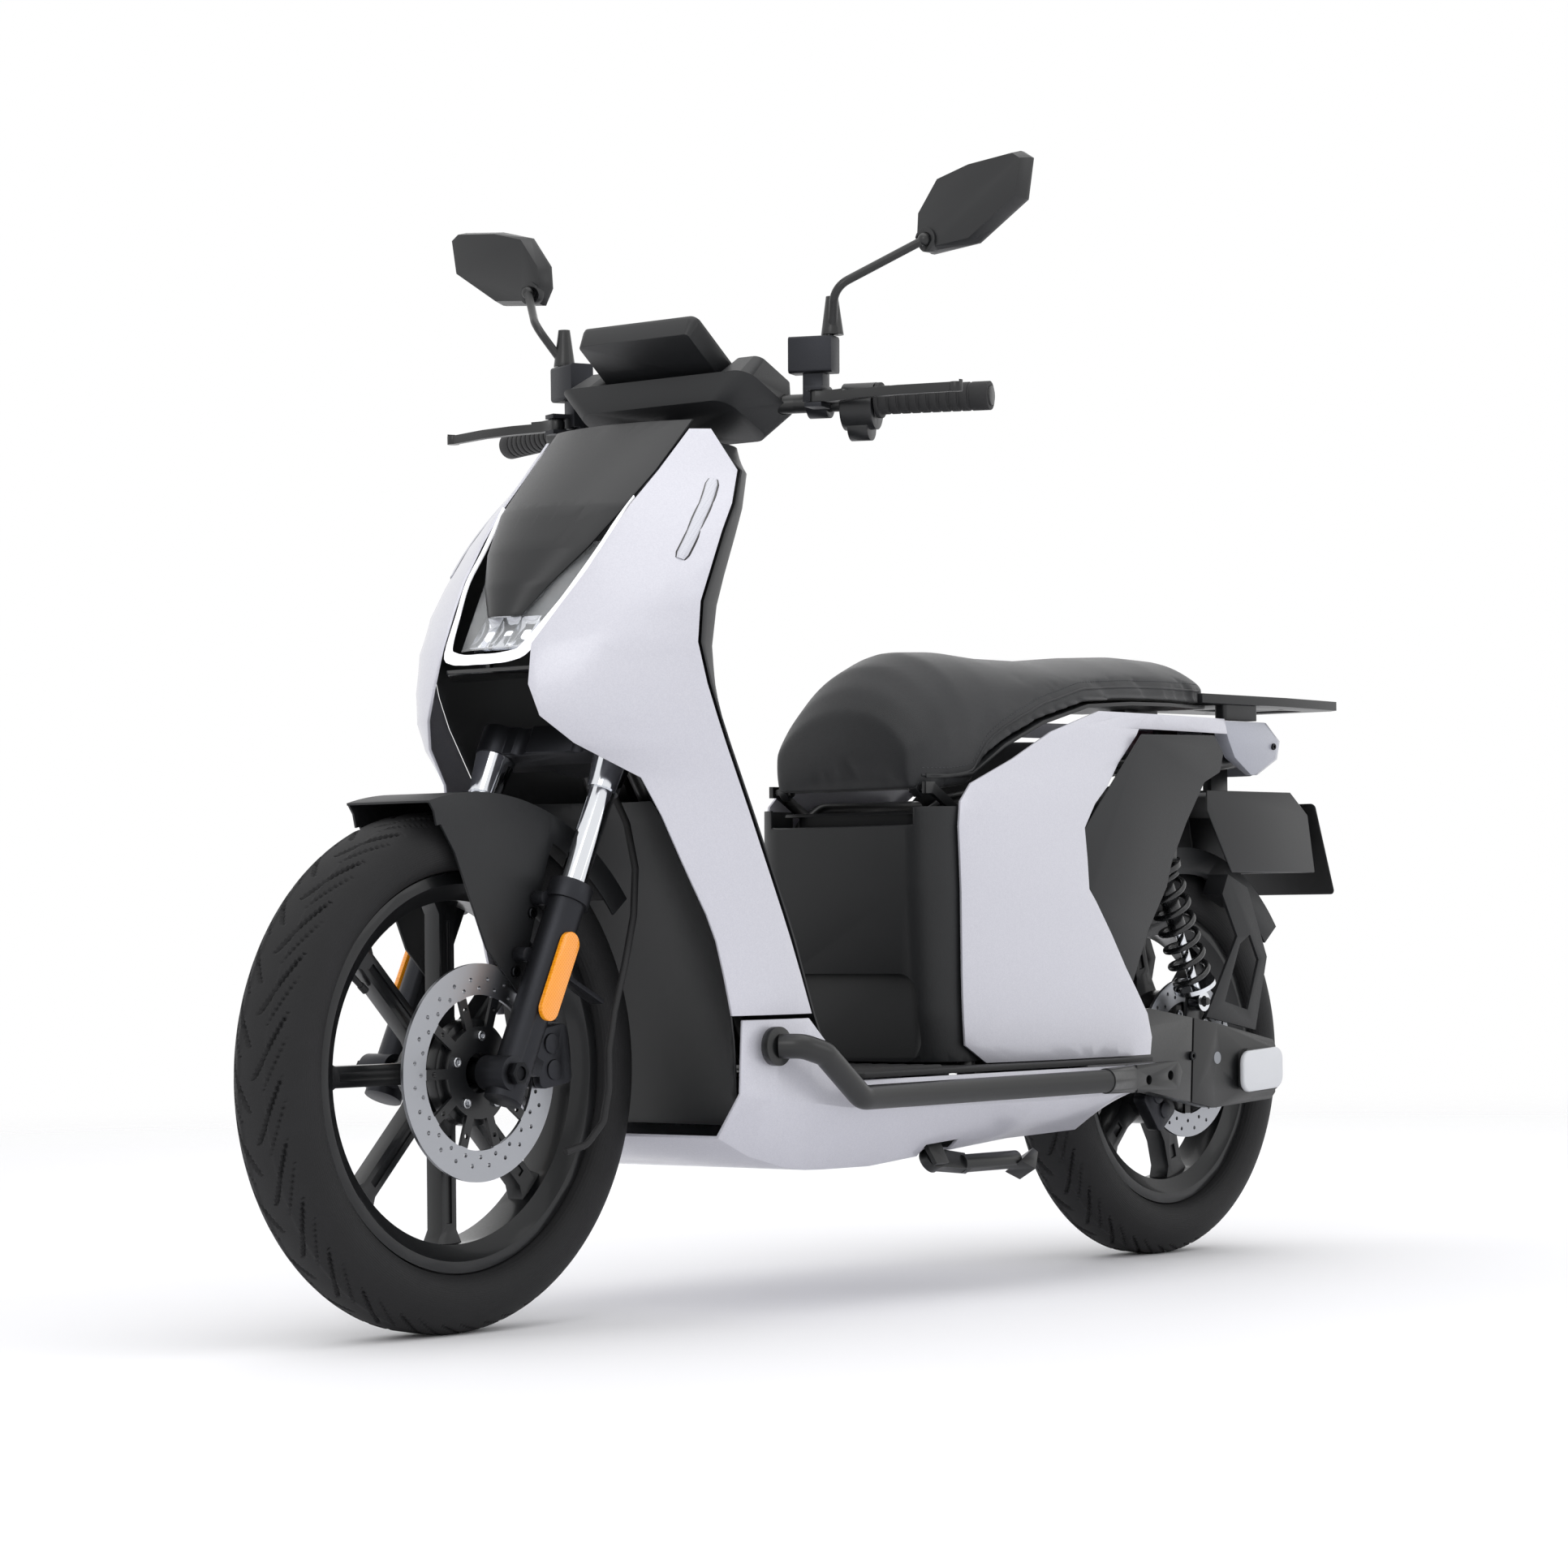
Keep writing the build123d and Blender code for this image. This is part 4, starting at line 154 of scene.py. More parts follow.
def bump(tree, height, depth_mm, strength=1.0, normal=None):
    """A bump of a given depth."""
    links = {"Height": height}
    if normal is not None:
        links["Normal"] = normal
    return add(
        tree, "ShaderNodeBump", {"Distance": depth_mm / 1000, "Strength": strength}, links
    ).outputs["Normal"]


def coated(name, first, second, rough, grain_mm, depth_mm, metallic=0.0, coat=0.0, coat_rough=0.1, **more):
    """A surface whose colour, roughness and relief vary a little: paint, plastic, cast metal or rubber."""
    material, tree = new_material(name)
    where = place(tree)
    broad = noise(tree, where, 90.0)
    fine = noise(tree, where, grain_mm, 4.0)
    colour = blend_colours(tree, broad, first, second)
    return surface(
        material,
        {"Metallic": metallic, "Coat Weight": coat, "Coat Roughness": coat_rough, **more},
        {
            "Base Color": colour,
            "Roughness": spread(tree, fine, rough - 0.06, rough + 0.06),
            "Normal": bump(tree, fine, depth_mm),
        },
    )


def pearl_paint(name, first, second):
    """Pearl paint sprayed on moulded ABS: a soft satin white with fine mica flakes under a thin lacquer."""
    material, tree = new_material(name)
    where = place(tree)
    # Flakes are really 0.05 mm across and are drawn at 1.2 mm so that they show.
    flakes = add(tree, "ShaderNodeTexVoronoi", {"Scale": 1000 / 1.2}, {"Vector": where})
    level = add(tree, "ShaderNodeRGBToBW", links={"Color": flakes.outputs["Color"]}).outputs["Val"]
    colour = blend_colours(tree, spread(tree, level, 0.25, 0.75), first, second)
    peel = noise(tree, where, 6.0, 2.0)
    return surface(
        material,
        {"Metallic": 0.12, "Coat Weight": 0.55, "Coat Roughness": 0.16},
        {
            "Base Color": colour,
            "Roughness": spread(tree, level, 0.34, 0.44),
            "Normal": bump(tree, peel, 0.03, 0.5),
        },
    )


def turned_disc(name, axle, inner_mm, ring, carrier):
    """Stainless brake ring ground in circles, on a carrier painted satin black inside inner_mm."""
    material, tree = new_material(name)
    radius = axle_distance(tree, place(tree), axle)
    # Grinding lines are really 0.1 mm apart and are drawn 0.9 mm apart so that they show.
    rings = add(
        tree, "ShaderNodeTexNoise", {"Scale": 1000 / 0.9, "Detail": 2.0}, {"W": radius},
        noise_dimensions="1D",
    ).outputs["Fac"]
    outside = add(
        tree, "ShaderNodeMath", {1: inner_mm / 1000}, {0: radius}, operation="GREATER_THAN"
    ).outputs[0]
    colour = blend_colours(tree, outside, carrier, ring)
    return surface(
        material,
        {},
        {
            "Base Color": colour,
            "Metallic": outside,
            "Roughness": spread(tree, rings, 0.24, 0.42),
            "Normal": bump(tree, rings, 0.05, 0.6),
        },
    )


def tyre_rubber(name, axle, tread_r, first, second):
    """Vulcanised road tyre: dull black, dusty in the sidewall, with fine moulding rings."""
    material, tree = new_material(name)
    where = place(tree)
    radius = axle_distance(tree, where, axle)
    # Moulding rings on the sidewall, 2.4 mm apart, fade out on the tread.
    wave = add(
        tree, "ShaderNodeMath", {1: 2 * math.pi / 0.0024}, {0: radius}, operation="MULTIPLY"
    ).outputs[0]
    ring = add(tree, "ShaderNodeMath", links={0: wave}, operation="SINE").outputs[0]
    side = add(
        tree,
        "ShaderNodeMapRange",
        {"From Min": tread_r - 0.03, "From Max": tread_r - 0.022, "To Min": 1.0, "To Max": 0.0},
        {"Value": radius},
    ).outputs["Result"]
    ringed = add(tree, "ShaderNodeMath", links={0: ring, 1: side}, operation="MULTIPLY").outputs[0]
    fine = noise(tree, where, 1.4, 4.0)
    return surface(
        material,
        {"Specular IOR Level": 0.35},
        {
            "Base Color": blend_colours(tree, noise(tree, where, 35.0), first, second),
            "Roughness": spread(tree, fine, 0.6, 0.78),
            "Normal": bump(tree, ringed, 0.12, 0.5, bump(tree, fine, 0.12)),
        },
    )


def seat_vinyl(name, first, second):
    """Coated seat fabric pressed with a leather grain about 1.8 mm wide: dark, soft, low sheen."""
    material, tree = new_material(name)
    where = place(tree)
    warped = add(
        tree,
        "ShaderNodeMixRGB",
        {"Fac": 0.0012},
        {
            "Color1": where,
            "Color2": add(
                tree, "ShaderNodeTexNoise", {"Scale": 220.0}, {"Vector": where}
            ).outputs["Color"],
        },
        blend_type="ADD",
    ).outputs["Color"]
    cells = add(
        tree, "ShaderNodeTexVoronoi", {"Scale": 1000 / 1.8}, {"Vector": warped},
        feature="DISTANCE_TO_EDGE",
    ).outputs["Distance"]
    grain = add(
        tree, "ShaderNodeMapRange", {"From Max": 0.12}, {"Value": cells}
    ).outputs["Result"]
    return surface(
        material,
        {"Sheen Weight": 0.12, "Sheen Roughness": 0.4, "Specular IOR Level": 0.42},
        {
            "Base Color": blend_colours(tree, noise(tree, where, 60.0), first, second),
            "Roughness": spread(tree, grain, 0.62, 0.5),
            "Normal": bump(tree, grain, 0.16, 0.5),
        },
    )


def prism_lens(name, first, second, glow, prism_mm):
    """Clear-coated coloured acrylic with square prisms moulded inside."""
    material, tree = new_material(name)
    where = place(tree)
    turned = add(
        tree, "ShaderNodeMapping", {"Rotation": (0, math.radians(45), 0)}, {"Vector": where}
    ).outputs["Vector"]
    cells = add(
        tree, "ShaderNodeTexVoronoi", {"Scale": 1000 / prism_mm, "Randomness": 0.0},
        {"Vector": turned},
    ).outputs["Distance"]
    colour = blend_colours(tree, cells, first, second)
    return surface(
        material,
        {"Coat Weight": 1.0, "Coat Roughness": 0.04, "Emission Strength": glow},
        {
            "Base Color": colour,
            "Emission Color": colour,
            "Roughness": spread(tree, cells, 0.2, 0.4),
            "Normal": bump(tree, cells, 0.5, 0.5),
        },
    )


def clear_cover(name, tint, opacity):
    """Clear moulded polycarbonate: nearly invisible face on, with sharp reflections."""
    material, tree = new_material(name)
    where = place(tree)
    waves = noise(tree, where, 14.0)
    return surface(
        material,
        {"Alpha": opacity, "Coat Weight": 1.0, "Coat Roughness": 0.02},
        {
            "Base Color": blend_colours(tree, waves, tint, "#FFFFFF"),
            "Roughness": spread(tree, waves, 0.03, 0.08),
            "Normal": bump(tree, waves, 0.03, 0.4),
        },
    )


MATERIALS = {}


def build_materials(colours):
    """Makes every finish once, from the colours the user can change."""
    made = {
        "pearl": pearl_paint("pearl_painted_abs", colours.pearl, colours.pearl_shade),
        "silver": pearl_paint("silver_painted_abs", "#AAACB6", "#9C9EA9"),
        # Moulded polypropylene with an etched grain: matte charcoal.
        "charcoal": coated(
            "grained_polypropylene", colours.charcoal, "#1A1B1D", 0.5, 1.6, 0.10,
            **{"Specular IOR Level": 0.4},
        ),
        "panel_black": coated("satin_moulded_abs", "#151618", "#1A1B1D", 0.38, 1.8, 0.04),
        # Gloss ABS straight from a polished mould.
        "gloss": coated("polished_black_abs", "#0A0A0B", "#101012", 0.16, 8.0, 0.02, coat=0.6),
        # Powder coat: satin black with orange peel about 3 mm wide.
        "powder": coated("powder_coated_steel", "#0E0F10", "#141516", 0.38, 3.0, 0.05, coat=0.15),
        "wheel": coated(
            "painted_cast_wheel", "#111214", "#17181A", 0.34, 3.2, 0.05, metallic=0.35, coat=0.2
        ),
        "cast": coated("cast_aluminium", "#8D9096", "#9EA1A6", 0.42, 2.2, 0.10, metallic=1.0),
        "dark_cast": coated(
            "anodised_cast_aluminium", "#2A2B2E", "#34353A", 0.42, 2.2, 0.10, metallic=0.8
        ),
        "chrome": coated("hard_chromed_steel", "#DADDE2", "#E8EAEE", 0.1, 12.0, 0.01, metallic=1.0),
        "steel": coated("ground_steel", "#9A9CA0", "#B0B2B6", 0.3, 1.2, 0.04, metallic=1.0),
        "enamel": coated("enamelled_spring_steel", "#101011", "#17181A", 0.28, 4.0, 0.03, coat=0.3),
        "rubber": coated("moulded_rubber", "#151516", "#1D1D1F", 0.66, 1.2, 0.14),
        "screw": coated("black_oxide_steel", "#1B1C1E", "#2A2B2E", 0.32, 1.0, 0.03, metallic=0.9),
        "bright_screw": coated("zinc_plated_steel", "#A8AAAE", "#BEC0C4", 0.28, 1.0, 0.03, metallic=1.0),
        "cap": coated("satin_silver_cover", "#C6C8CD", "#D2D4D8", 0.38, 2.0, 0.04, coat=0.2),
        "reflector": coated("aluminised_reflector", "#C9CBD2", "#E2E4EA", 0.14, 5.0, 0.03, metallic=1.0),
        "mirror": coated("silvered_mirror_glass", "#DDE2E6", "#E6EAEE", 0.08, 40.0, 0.001, metallic=1.0),
        "screen": coated("bonded_display_glass", "#06070A", "#0B0D12", 0.1, 60.0, 0.002, coat=1.0),
        "plate": coated("pressed_plate_blank", "#0D0D0E", "#141415", 0.45, 2.0, 0.03),
        "seat": seat_vinyl("grained_seat_vinyl", colours.seat, "#1C1D1F"),
        "thread": coated("waxed_polyester_thread", "#303134", "#3A3B3F", 0.6, 0.8, 0.1),
        # The side reflectors are no lamps: their emission strength of 0.12 is a painted glow.
        "amber": prism_lens("amber_reflector_painted_glow", "#E07E00", "#FFAA10", 0.12, 3.0),
        "red": prism_lens("red_acrylic_lens", "#7A0606", "#C81414", 0.12, 4.0),
        "guide": prism_lens("diffusing_light_guide", "#ECEDF4", "#FFFFFF", 0.5, 2.5),
        "indicator": prism_lens("frosted_indicator_lens", "#B4B5BF", "#C9CAD2", 0.0, 2.5),
        "led": prism_lens("lit_led_cell", "#F4F6FF", "#FFFFFF", 1.0, 3.0),
        "clear": clear_cover("clear_polycarbonate", "#EAF0F4", 0.16),
        "front_tyre": tyre_rubber(
            "road_tyre_rubber_front", FRONT_AXLE, FRONT_AXLE.z, "#141415", "#1B1B1D"
        ),
        "rear_tyre": tyre_rubber(
            "road_tyre_rubber_rear", REAR_AXLE, REAR_AXLE.z, "#141415", "#1B1B1D"
        ),
        "front_disc": turned_disc("ground_front_disc", FRONT_AXLE, 83.0, "#A6A8AD", "#101113"),
        "rear_disc": turned_disc("ground_rear_disc", REAR_AXLE, 73.0, "#A6A8AD", "#101113"),
    }
    MATERIALS.update(made)


# ---------------------------------------------------------------- mesh helpers
def new_object(name, mesh):
    """Links a mesh as an object at the origin."""
    thing = bpy.data.objects.new(name, mesh)
    bpy.context.scene.collection.objects.link(thing)
    return thing


def from_bmesh(name, work, material, smooth=True):
    """A finished object from a bmesh, with its faces turned outwards."""
    bmesh.ops.recalc_face_normals(work, faces=work.faces)
    mesh = bpy.data.meshes.new(name)
    work.to_mesh(mesh)
    work.free()
    if smooth:
        mesh.shade_smooth()
        mesh.set_sharp_from_angle(angle=math.radians(40))
    mesh.materials.append(MATERIALS[material])
    return new_object(name, mesh)


def baked(thing):
    """The object with its modifiers applied."""
    graph = bpy.context.evaluated_depsgraph_get()
    mesh = bpy.data.meshes.new_from_object(thing.evaluated_get(graph), depsgraph=graph)
    thing.modifiers.clear()
    thing.data = mesh
    return thing


def softened(node, material, bevel):
    """A CAD node's shape with its edges rounded over, standing for that node."""
    work = bmesh.new()
    work.from_mesh(frame["nodes"][node].data)
    bmesh.ops.remove_doubles(work, verts=work.verts, dist=1e-5)
    bmesh.ops.dissolve_limit(
        work, angle_limit=math.radians(0.4), verts=work.verts, edges=work.edges
    )
    mesh = bpy.data.meshes.new(node + "_finished")
    work.to_mesh(mesh)
    work.free()
    mesh.shade_smooth()
    mesh.materials.clear()
    mesh.materials.append(MATERIALS[material])
    thing = new_object(node + "_finished", mesh)
    rounding = thing.modifiers.new("rounding", "BEVEL")
    rounding.width = bevel
    rounding.segments = 2
    rounding.limit_method = "ANGLE"
    rounding.angle_limit = math.radians(38)
    rounding.use_clamp_overlap = True
    baked(thing)
    thing.data.shade_smooth()
    thing.data.set_sharp_from_angle(angle=math.radians(48))
    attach(thing, BODY_OF[node])
    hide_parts(node)
    return thing


def painted(node, material):
    """Gives a CAD node that stays as it is its finish."""
    thing = frame["nodes"][node]
    if not thing.material_slots:
        raise RuntimeError(node + " has no material slot")
    for slot in thing.material_slots:
        slot.material = MATERIALS[material]


def bridged(work, rings):
    """Joins rings of vertices with faces and closes both ends."""
    for one, two in zip(rings, rings[1:]):
        for k in range(len(one)):
            after = (k + 1) % len(one)
            work.faces.new((one[k], one[after], two[after], two[k]))
    work.faces.new(rings[0])
    work.faces.new(rings[-1])


def arc_points(first, middle, last, count):
    """Points on the arc through three points of a plane, both ends included."""
    (ax, ay), (bx, by), (cx, cy) = first, middle, last
    d = 2 * (ax * (by - cy) + bx * (cy - ay) + cx * (ay - by))
    ux = ((ax**2 + ay**2) * (by - cy) + (bx**2 + by**2) * (cy - ay) + (cx**2 + cy**2) * (ay - by)) / d
    uy = ((ax**2 + ay**2) * (cx - bx) + (bx**2 + by**2) * (ax - cx) + (cx**2 + cy**2) * (bx - ax)) / d
    radius = math.hypot(ax - ux, ay - uy)
    start = math.atan2(ay - uy, ax - ux)
    turn = (math.atan2(cy - uy, cx - ux) - start + math.pi) % (2 * math.pi) - math.pi
    return [
        (ux + radius * math.cos(start + turn * i / (count - 1)),
         uy + radius * math.sin(start + turn * i / (count - 1)))
        for i in range(count)
    ]


def tread_depth(angle, place_on_tread, tread_r, sizes):
    """How deep the tread is cut at an angle and a signed place from -1 to 1 across it."""
    pitch = 2 * math.pi / sizes.groove_count
    side = np.abs(place_on_tread)
    offset = np.where(place_on_tread > 0, 0.5 * pitch, 0.0)

    def cut(low, high, width, shift, sweep):
        swept = angle - offset - shift - sweep * side**1.4
        near = np.abs((swept + pitch / 2) % pitch - pitch / 2) * tread_r
        taper = np.clip((side - low) / 0.14, 0, 1) * np.clip((high - side) / 0.14, 0, 1)
        return np.clip((width * np.sqrt(taper) - near) / 0.0018, 0, 1)

    long_cut = cut(0.05, 0.92, 0.0046, 0.0, 0.3)
    short_cut = cut(0.38, 1.0, 0.003, pitch * 0.5, 0.3)
    return sizes.groove_depth * np.maximum(long_cut, 0.7 * short_cut)


def tyre(node, name, axle, rim_inch, material, sizes):
    """A tyre turned from its section, with grooves swept across its tread."""
    seat_r = rim_inch * 0.0127
    tread_r = axle.z
    half = 0.05
    widest_r = (seat_r + tread_r) / 2
    shoulder = arc_points((0.018, tread_r), (half - 0.011, tread_r - 0.013), (half, widest_r), 22)
    flank = arc_points((half, widest_r), (half - 0.008, widest_r - 0.021), (0.029, seat_r + 0.0145), 5)
    crown = [(0.018 * i / 6, tread_r - 0.0012 * (i / 6) ** 2) for i in range(6)]
    outer = crown + [(y, r - 0.0012 if i < 1 else r) for i, (y, r) in enumerate(shoulder)] + flank[1:]
    inner = [(0.029, seat_r), (0.020, seat_r), (0.020, seat_r + 0.012)]
    inner += arc_points((0.020, seat_r + 0.012), (half - 0.007, widest_r), (0.018, tread_r - 0.011), 5)[1:]
    half_section = outer + inner + [(0.0, tread_r - 0.011)]
    left = [(-y, r) for y, r in reversed(half_section[1:-1])]
    section = np.array(half_section + left)
    lengths = np.zeros(len(section))
    run = np.cumsum(np.hypot(*np.diff(np.array(outer), axis=0).T))
    tread_run = 0.043
    along = np.concatenate([[0.0], run]) / tread_run
    lengths[: len(outer)] = along
    lengths[len(outer) : len(section) - len(outer) + 1] = 9.0
    lengths[len(section) - len(outer) + 1 :] = -along[:0:-1]
    tangent = np.roll(section, -1, axis=0) - np.roll(section, 1, axis=0)
    inwards = np.stack([-tangent[:, 1], tangent[:, 0]], axis=1)
    inwards /= np.linalg.norm(inwards, axis=1)[:, None]
    middle = np.array([0.0, widest_r])
    inwards *= np.sign(((middle - section) * inwards).sum(1))[:, None]
    count = sizes.tyre_steps
    angle = np.linspace(0, 2 * math.pi, count, endpoint=False)[:, None]
    depth = tread_depth(angle, lengths[None, :], tread_r, sizes)
    depth = np.where(np.abs(lengths)[None, :] <= 1.0, depth, 0.0)
    y = section[None, :, 0] + depth * inwards[None, :, 0]
    r = section[None, :, 1] + depth * inwards[None, :, 1]
    points = np.stack(
        [axle.x + r * np.sin(angle), y + 0 * angle, axle.z - r * np.cos(angle)], axis=2
    ).reshape(-1, 3)
    wide = len(section)
    i, j = np.meshgrid(np.arange(count), np.arange(wide), indexing="ij")
    i2, j2 = (i + 1) % count, (j + 1) % wide
    faces = np.stack([i * wide + j, i * wide + j2, i2 * wide + j2, i2 * wide + j], axis=2).reshape(-1, 4)
    mesh = bpy.data.meshes.new(name)
    mesh.from_pydata(points.tolist(), [], faces.tolist())
    work = bmesh.new()
    work.from_mesh(mesh)
    thing = from_bmesh(name, work, material)
    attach(thing, BODY_OF[node])
    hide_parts(node)
    return thing


def rounded_plate(name, outline, thickness, axis, material, bevel=0.002):
    """A plate from an outline of points, thickened along an axis, with rounded edges."""
    work = bmesh.new()
    low = [work.verts.new(p) for p in outline]
    face = work.faces.new(low)
    grown = bmesh.ops.extrude_face_region(work, geom=[face])
    moved = [v for v in grown["geom"] if isinstance(v, bmesh.types.BMVert)]
    bmesh.ops.translate(work, verts=moved, vec=Vector(axis).normalized() * thickness)
    thing = from_bmesh(name, work, material)
    rounding = thing.modifiers.new("rounding", "BEVEL")
    rounding.width = bevel
    rounding.segments = 3
    rounding.limit_method = "ANGLE"
    rounding.angle_limit = math.radians(50)
    baked(thing)
    thing.data.shade_smooth()
    thing.data.set_sharp_from_angle(angle=math.radians(35))
    return thing


def rounded_outline(width, height, radius, corner_steps=6):
    """Points of a rounded rectangle about the origin."""
    points = []
    for corner, (sx, sy) in enumerate(((1, 1), (-1, 1), (-1, -1), (1, -1))):
        for k in range(corner_steps + 1):
            turn = math.pi / 2 * (corner + k / corner_steps)
            points.append(
                (sx * (width / 2 - radius) + radius * math.cos(turn),
                 sy * (height / 2 - radius) + radius * math.sin(turn))
            )
    return points


def swept_band(name, path, sizes_along, material, facing):
    """A lens-shaped band along a path: (half width, half thickness) at each point, flat side facing out."""
    work = bmesh.new()
    rings = []
    for k, point in enumerate(path):
        ahead = path[min(k + 1, len(path) - 1)] - path[max(k - 1, 0)]
        ahead.normalize()
        across = ahead.cross(facing(point)).normalized()
        out = across.cross(ahead).normalized()
        wide, thick = sizes_along[k]
        rings.append([
            work.verts.new(point + across * wide * math.cos(t) + out * thick * math.sin(t))
            for t in (2 * math.pi * n / 14 for n in range(14))
        ])
    bridged(work, rings)
    return from_bmesh(name, work, material)


def smooth_path(points, steps):
    """A Catmull-Rom line through points."""
    points = [Vector(p) for p in points]
    padded = [points[0] * 2 - points[1]] + points + [points[-1] * 2 - points[-2]]
    line = []
    for a, b, c, d in zip(padded, padded[1:], padded[2:], padded[3:]):
        for k in range(steps):
            t = k / steps
            line.append(
                0.5 * (2 * b + (c - a) * t + (2 * a - 5 * b + 4 * c - d) * t**2
                       + (3 * b - a - 3 * c + d) * t**3)
            )
    return line + [points[-1]]


def tree_of(nodes):
    """A ray-casting tree over several CAD nodes."""
    work = bmesh.new()
    for node in nodes:
        work.from_mesh(frame["nodes"][node].data)
    tree = BVHTree.FromBMesh(work)
    work.free()
    return tree


# ---------------------------------------------------------------- repeated pieces
def socket_screw_mesh():
    """A socket screw's head of unit radius, standing on Z = 0, with a hexagonal recess."""
    work = bmesh.new()
    steps = 18

    def ring(radius, height):
        turns = (2 * math.pi * k / steps for k in range(steps))
        return [work.verts.new((radius * math.cos(t), radius * math.sin(t), height)) for t in turns]

    rings = [ring(1.0, 0.0), ring(1.0, 0.62), ring(0.88, 0.78), ring(0.62, 0.78)]
    hexagon = []
    for height in (0.7, 0.3):
        loop = []
        for k in range(steps):
            t = 2 * math.pi * k / steps
            flat = 0.42 / math.cos((t + math.pi / 6) % (math.pi / 3) - math.pi / 6)
            loop.append(work.verts.new((flat * math.cos(t), flat * math.sin(t), height)))
        hexagon.append(loop)
    bridged(work, rings + hexagon)
    bmesh.ops.recalc_face_normals(work, faces=work.faces)
    mesh = bpy.data.meshes.new("socket_screw")
    work.to_mesh(mesh)
    work.free()
    return mesh


def stitch_mesh():
    """One stitch along Z: a small rounded lozenge of unit length."""
    work = bmesh.new()
    bmesh.ops.create_uvsphere(work, u_segments=6, v_segments=5, radius=0.5)
    bmesh.ops.scale(work, vec=(0.34, 0.34, 1.0), verts=work.verts)
    mesh = bpy.data.meshes.new("stitch")
    work.to_mesh(mesh)
    work.free()
    return mesh


def instancing_tree(template, material):
    """Geometry Nodes that set a template on every point, turned to its direction and scaled to its size."""
    tree = bpy.data.node_groups.new("set_on_points", "GeometryNodeTree")
    tree.interface.new_socket("Geometry", in_out="INPUT", socket_type="NodeSocketGeometry")
    size = tree.interface.new_socket("Size", in_out="INPUT", socket_type="NodeSocketFloat")
    size.default_value = 1.0
    tree.interface.new_socket("Geometry", in_out="OUTPUT", socket_type="NodeSocketGeometry")
    entry = add(tree, "NodeGroupInput")
    points = add(tree, "GeometryNodeMeshToPoints", links={"Mesh": entry.outputs["Geometry"]})
    direction = add(
        tree, "GeometryNodeInputNamedAttribute", {"Name": "direction"}, data_type="FLOAT_VECTOR"
    )
    radius = add(tree, "GeometryNodeInputNamedAttribute", {"Name": "size"}, data_type="FLOAT")
    turned = add(
        tree, "FunctionNodeAlignRotationToVector", links={"Vector": direction.outputs["Attribute"]},
        axis="Z",
    )
    scale = add(
        tree, "ShaderNodeMath", links={0: radius.outputs["Attribute"], 1: entry.outputs["Size"]},
        operation="MULTIPLY",
    )
    shape = add(tree, "GeometryNodeObjectInfo", {"Object": template})
    placed = add(
        tree,
        "GeometryNodeInstanceOnPoints",
        links={
            "Points": points.outputs["Points"],
            "Instance": shape.outputs["Geometry"],
            "Rotation": turned.outputs["Rotation"],
            "Scale": scale.outputs[0],
        },
    )
    real = add(tree, "GeometryNodeRealizeInstances", links={"Geometry": placed.outputs["Instances"]})
    finish = add(
        tree, "GeometryNodeSetMaterial", {"Material": material},
        {"Geometry": real.outputs["Geometry"]},
    )
    add(tree, "NodeGroupOutput", links={"Geometry": finish.outputs["Geometry"]})
    return tree, size.identifier


def repeated(name, template_mesh, spots, material, body, size=1.0):
    """One object holding a template at every (point, direction, size) spot."""
    template = new_object("template", template_mesh)
    mesh = bpy.data.meshes.new(name)
    mesh.from_pydata([tuple(p) for p, d, s in spots], [], [])
    way = mesh.attributes.new("direction", "FLOAT_VECTOR", "POINT")
    way.data.foreach_set("vector", [c for p, d, s in spots for c in d])
    mesh.attributes.new("size", "FLOAT", "POINT").data.foreach_set("value", [s for p, d, s in spots])
    thing = new_object(name, mesh)
    tree, size_input = instancing_tree(template, MATERIALS[material])
    modifier = thing.modifiers.new("repeat", "NODES")
    modifier.node_group = tree
    modifier[size_input] = size
    baked(thing)
    if not thing.data.polygons:
        raise RuntimeError(name + " came out empty")
    thing.data.shade_smooth()
    thing.data.set_sharp_from_angle(angle=math.radians(35))
    bpy.data.objects.remove(template)
    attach(thing, body)
    return thing


# ---------------------------------------------------------------- settings
class ScooterSizes(bpy.types.PropertyGroup):
    """Sizes of the visual detail."""

    edge_round: bpy.props.FloatProperty(
        name="Edge rounding", description="Radius of moulded edges", default=0.0014,
        min=0.0002, max=0.004, unit="LENGTH",
    )
    metal_round: bpy.props.FloatProperty(
        name="Metal edge rounding", description="Radius of machined and cast edges", default=0.0007,
        min=0.0002, max=0.003, unit="LENGTH",
    )
    groove_depth: bpy.props.FloatProperty(
        name="Tread depth", description="Depth of the tyres' grooves", default=0.0034,
        min=0.001, max=0.006, unit="LENGTH",
    )
    groove_count: bpy.props.IntProperty(
        name="Grooves", description="Long grooves on each side of a tyre", default=26, min=8, max=60
    )
    tyre_steps: bpy.props.IntProperty(
        name="Tyre steps", description="Steps round a tyre's mesh", default=1200, min=120, max=1400
    )
    seat_voxel: bpy.props.FloatProperty(
        name="Seat voxel", description="Size of the seat's remesh", default=0.006,
        min=0.004, max=0.02, unit="LENGTH",
    )
    seat_swell: bpy.props.FloatProperty(
        name="Seat swell", description="Most that the seat's cover may swell", default=0.007,
        min=0.0, max=0.02, unit="LENGTH",
    )
    stitch_pitch: bpy.props.FloatProperty(
        name="Stitch pitch", description="Distance between stitches", default=0.006,
        min=0.002, max=0.02, unit="LENGTH",
    )
    focal_length: bpy.props.FloatProperty(
        name="Lens", description="Camera's focal length in millimetres", default=101.4
    )


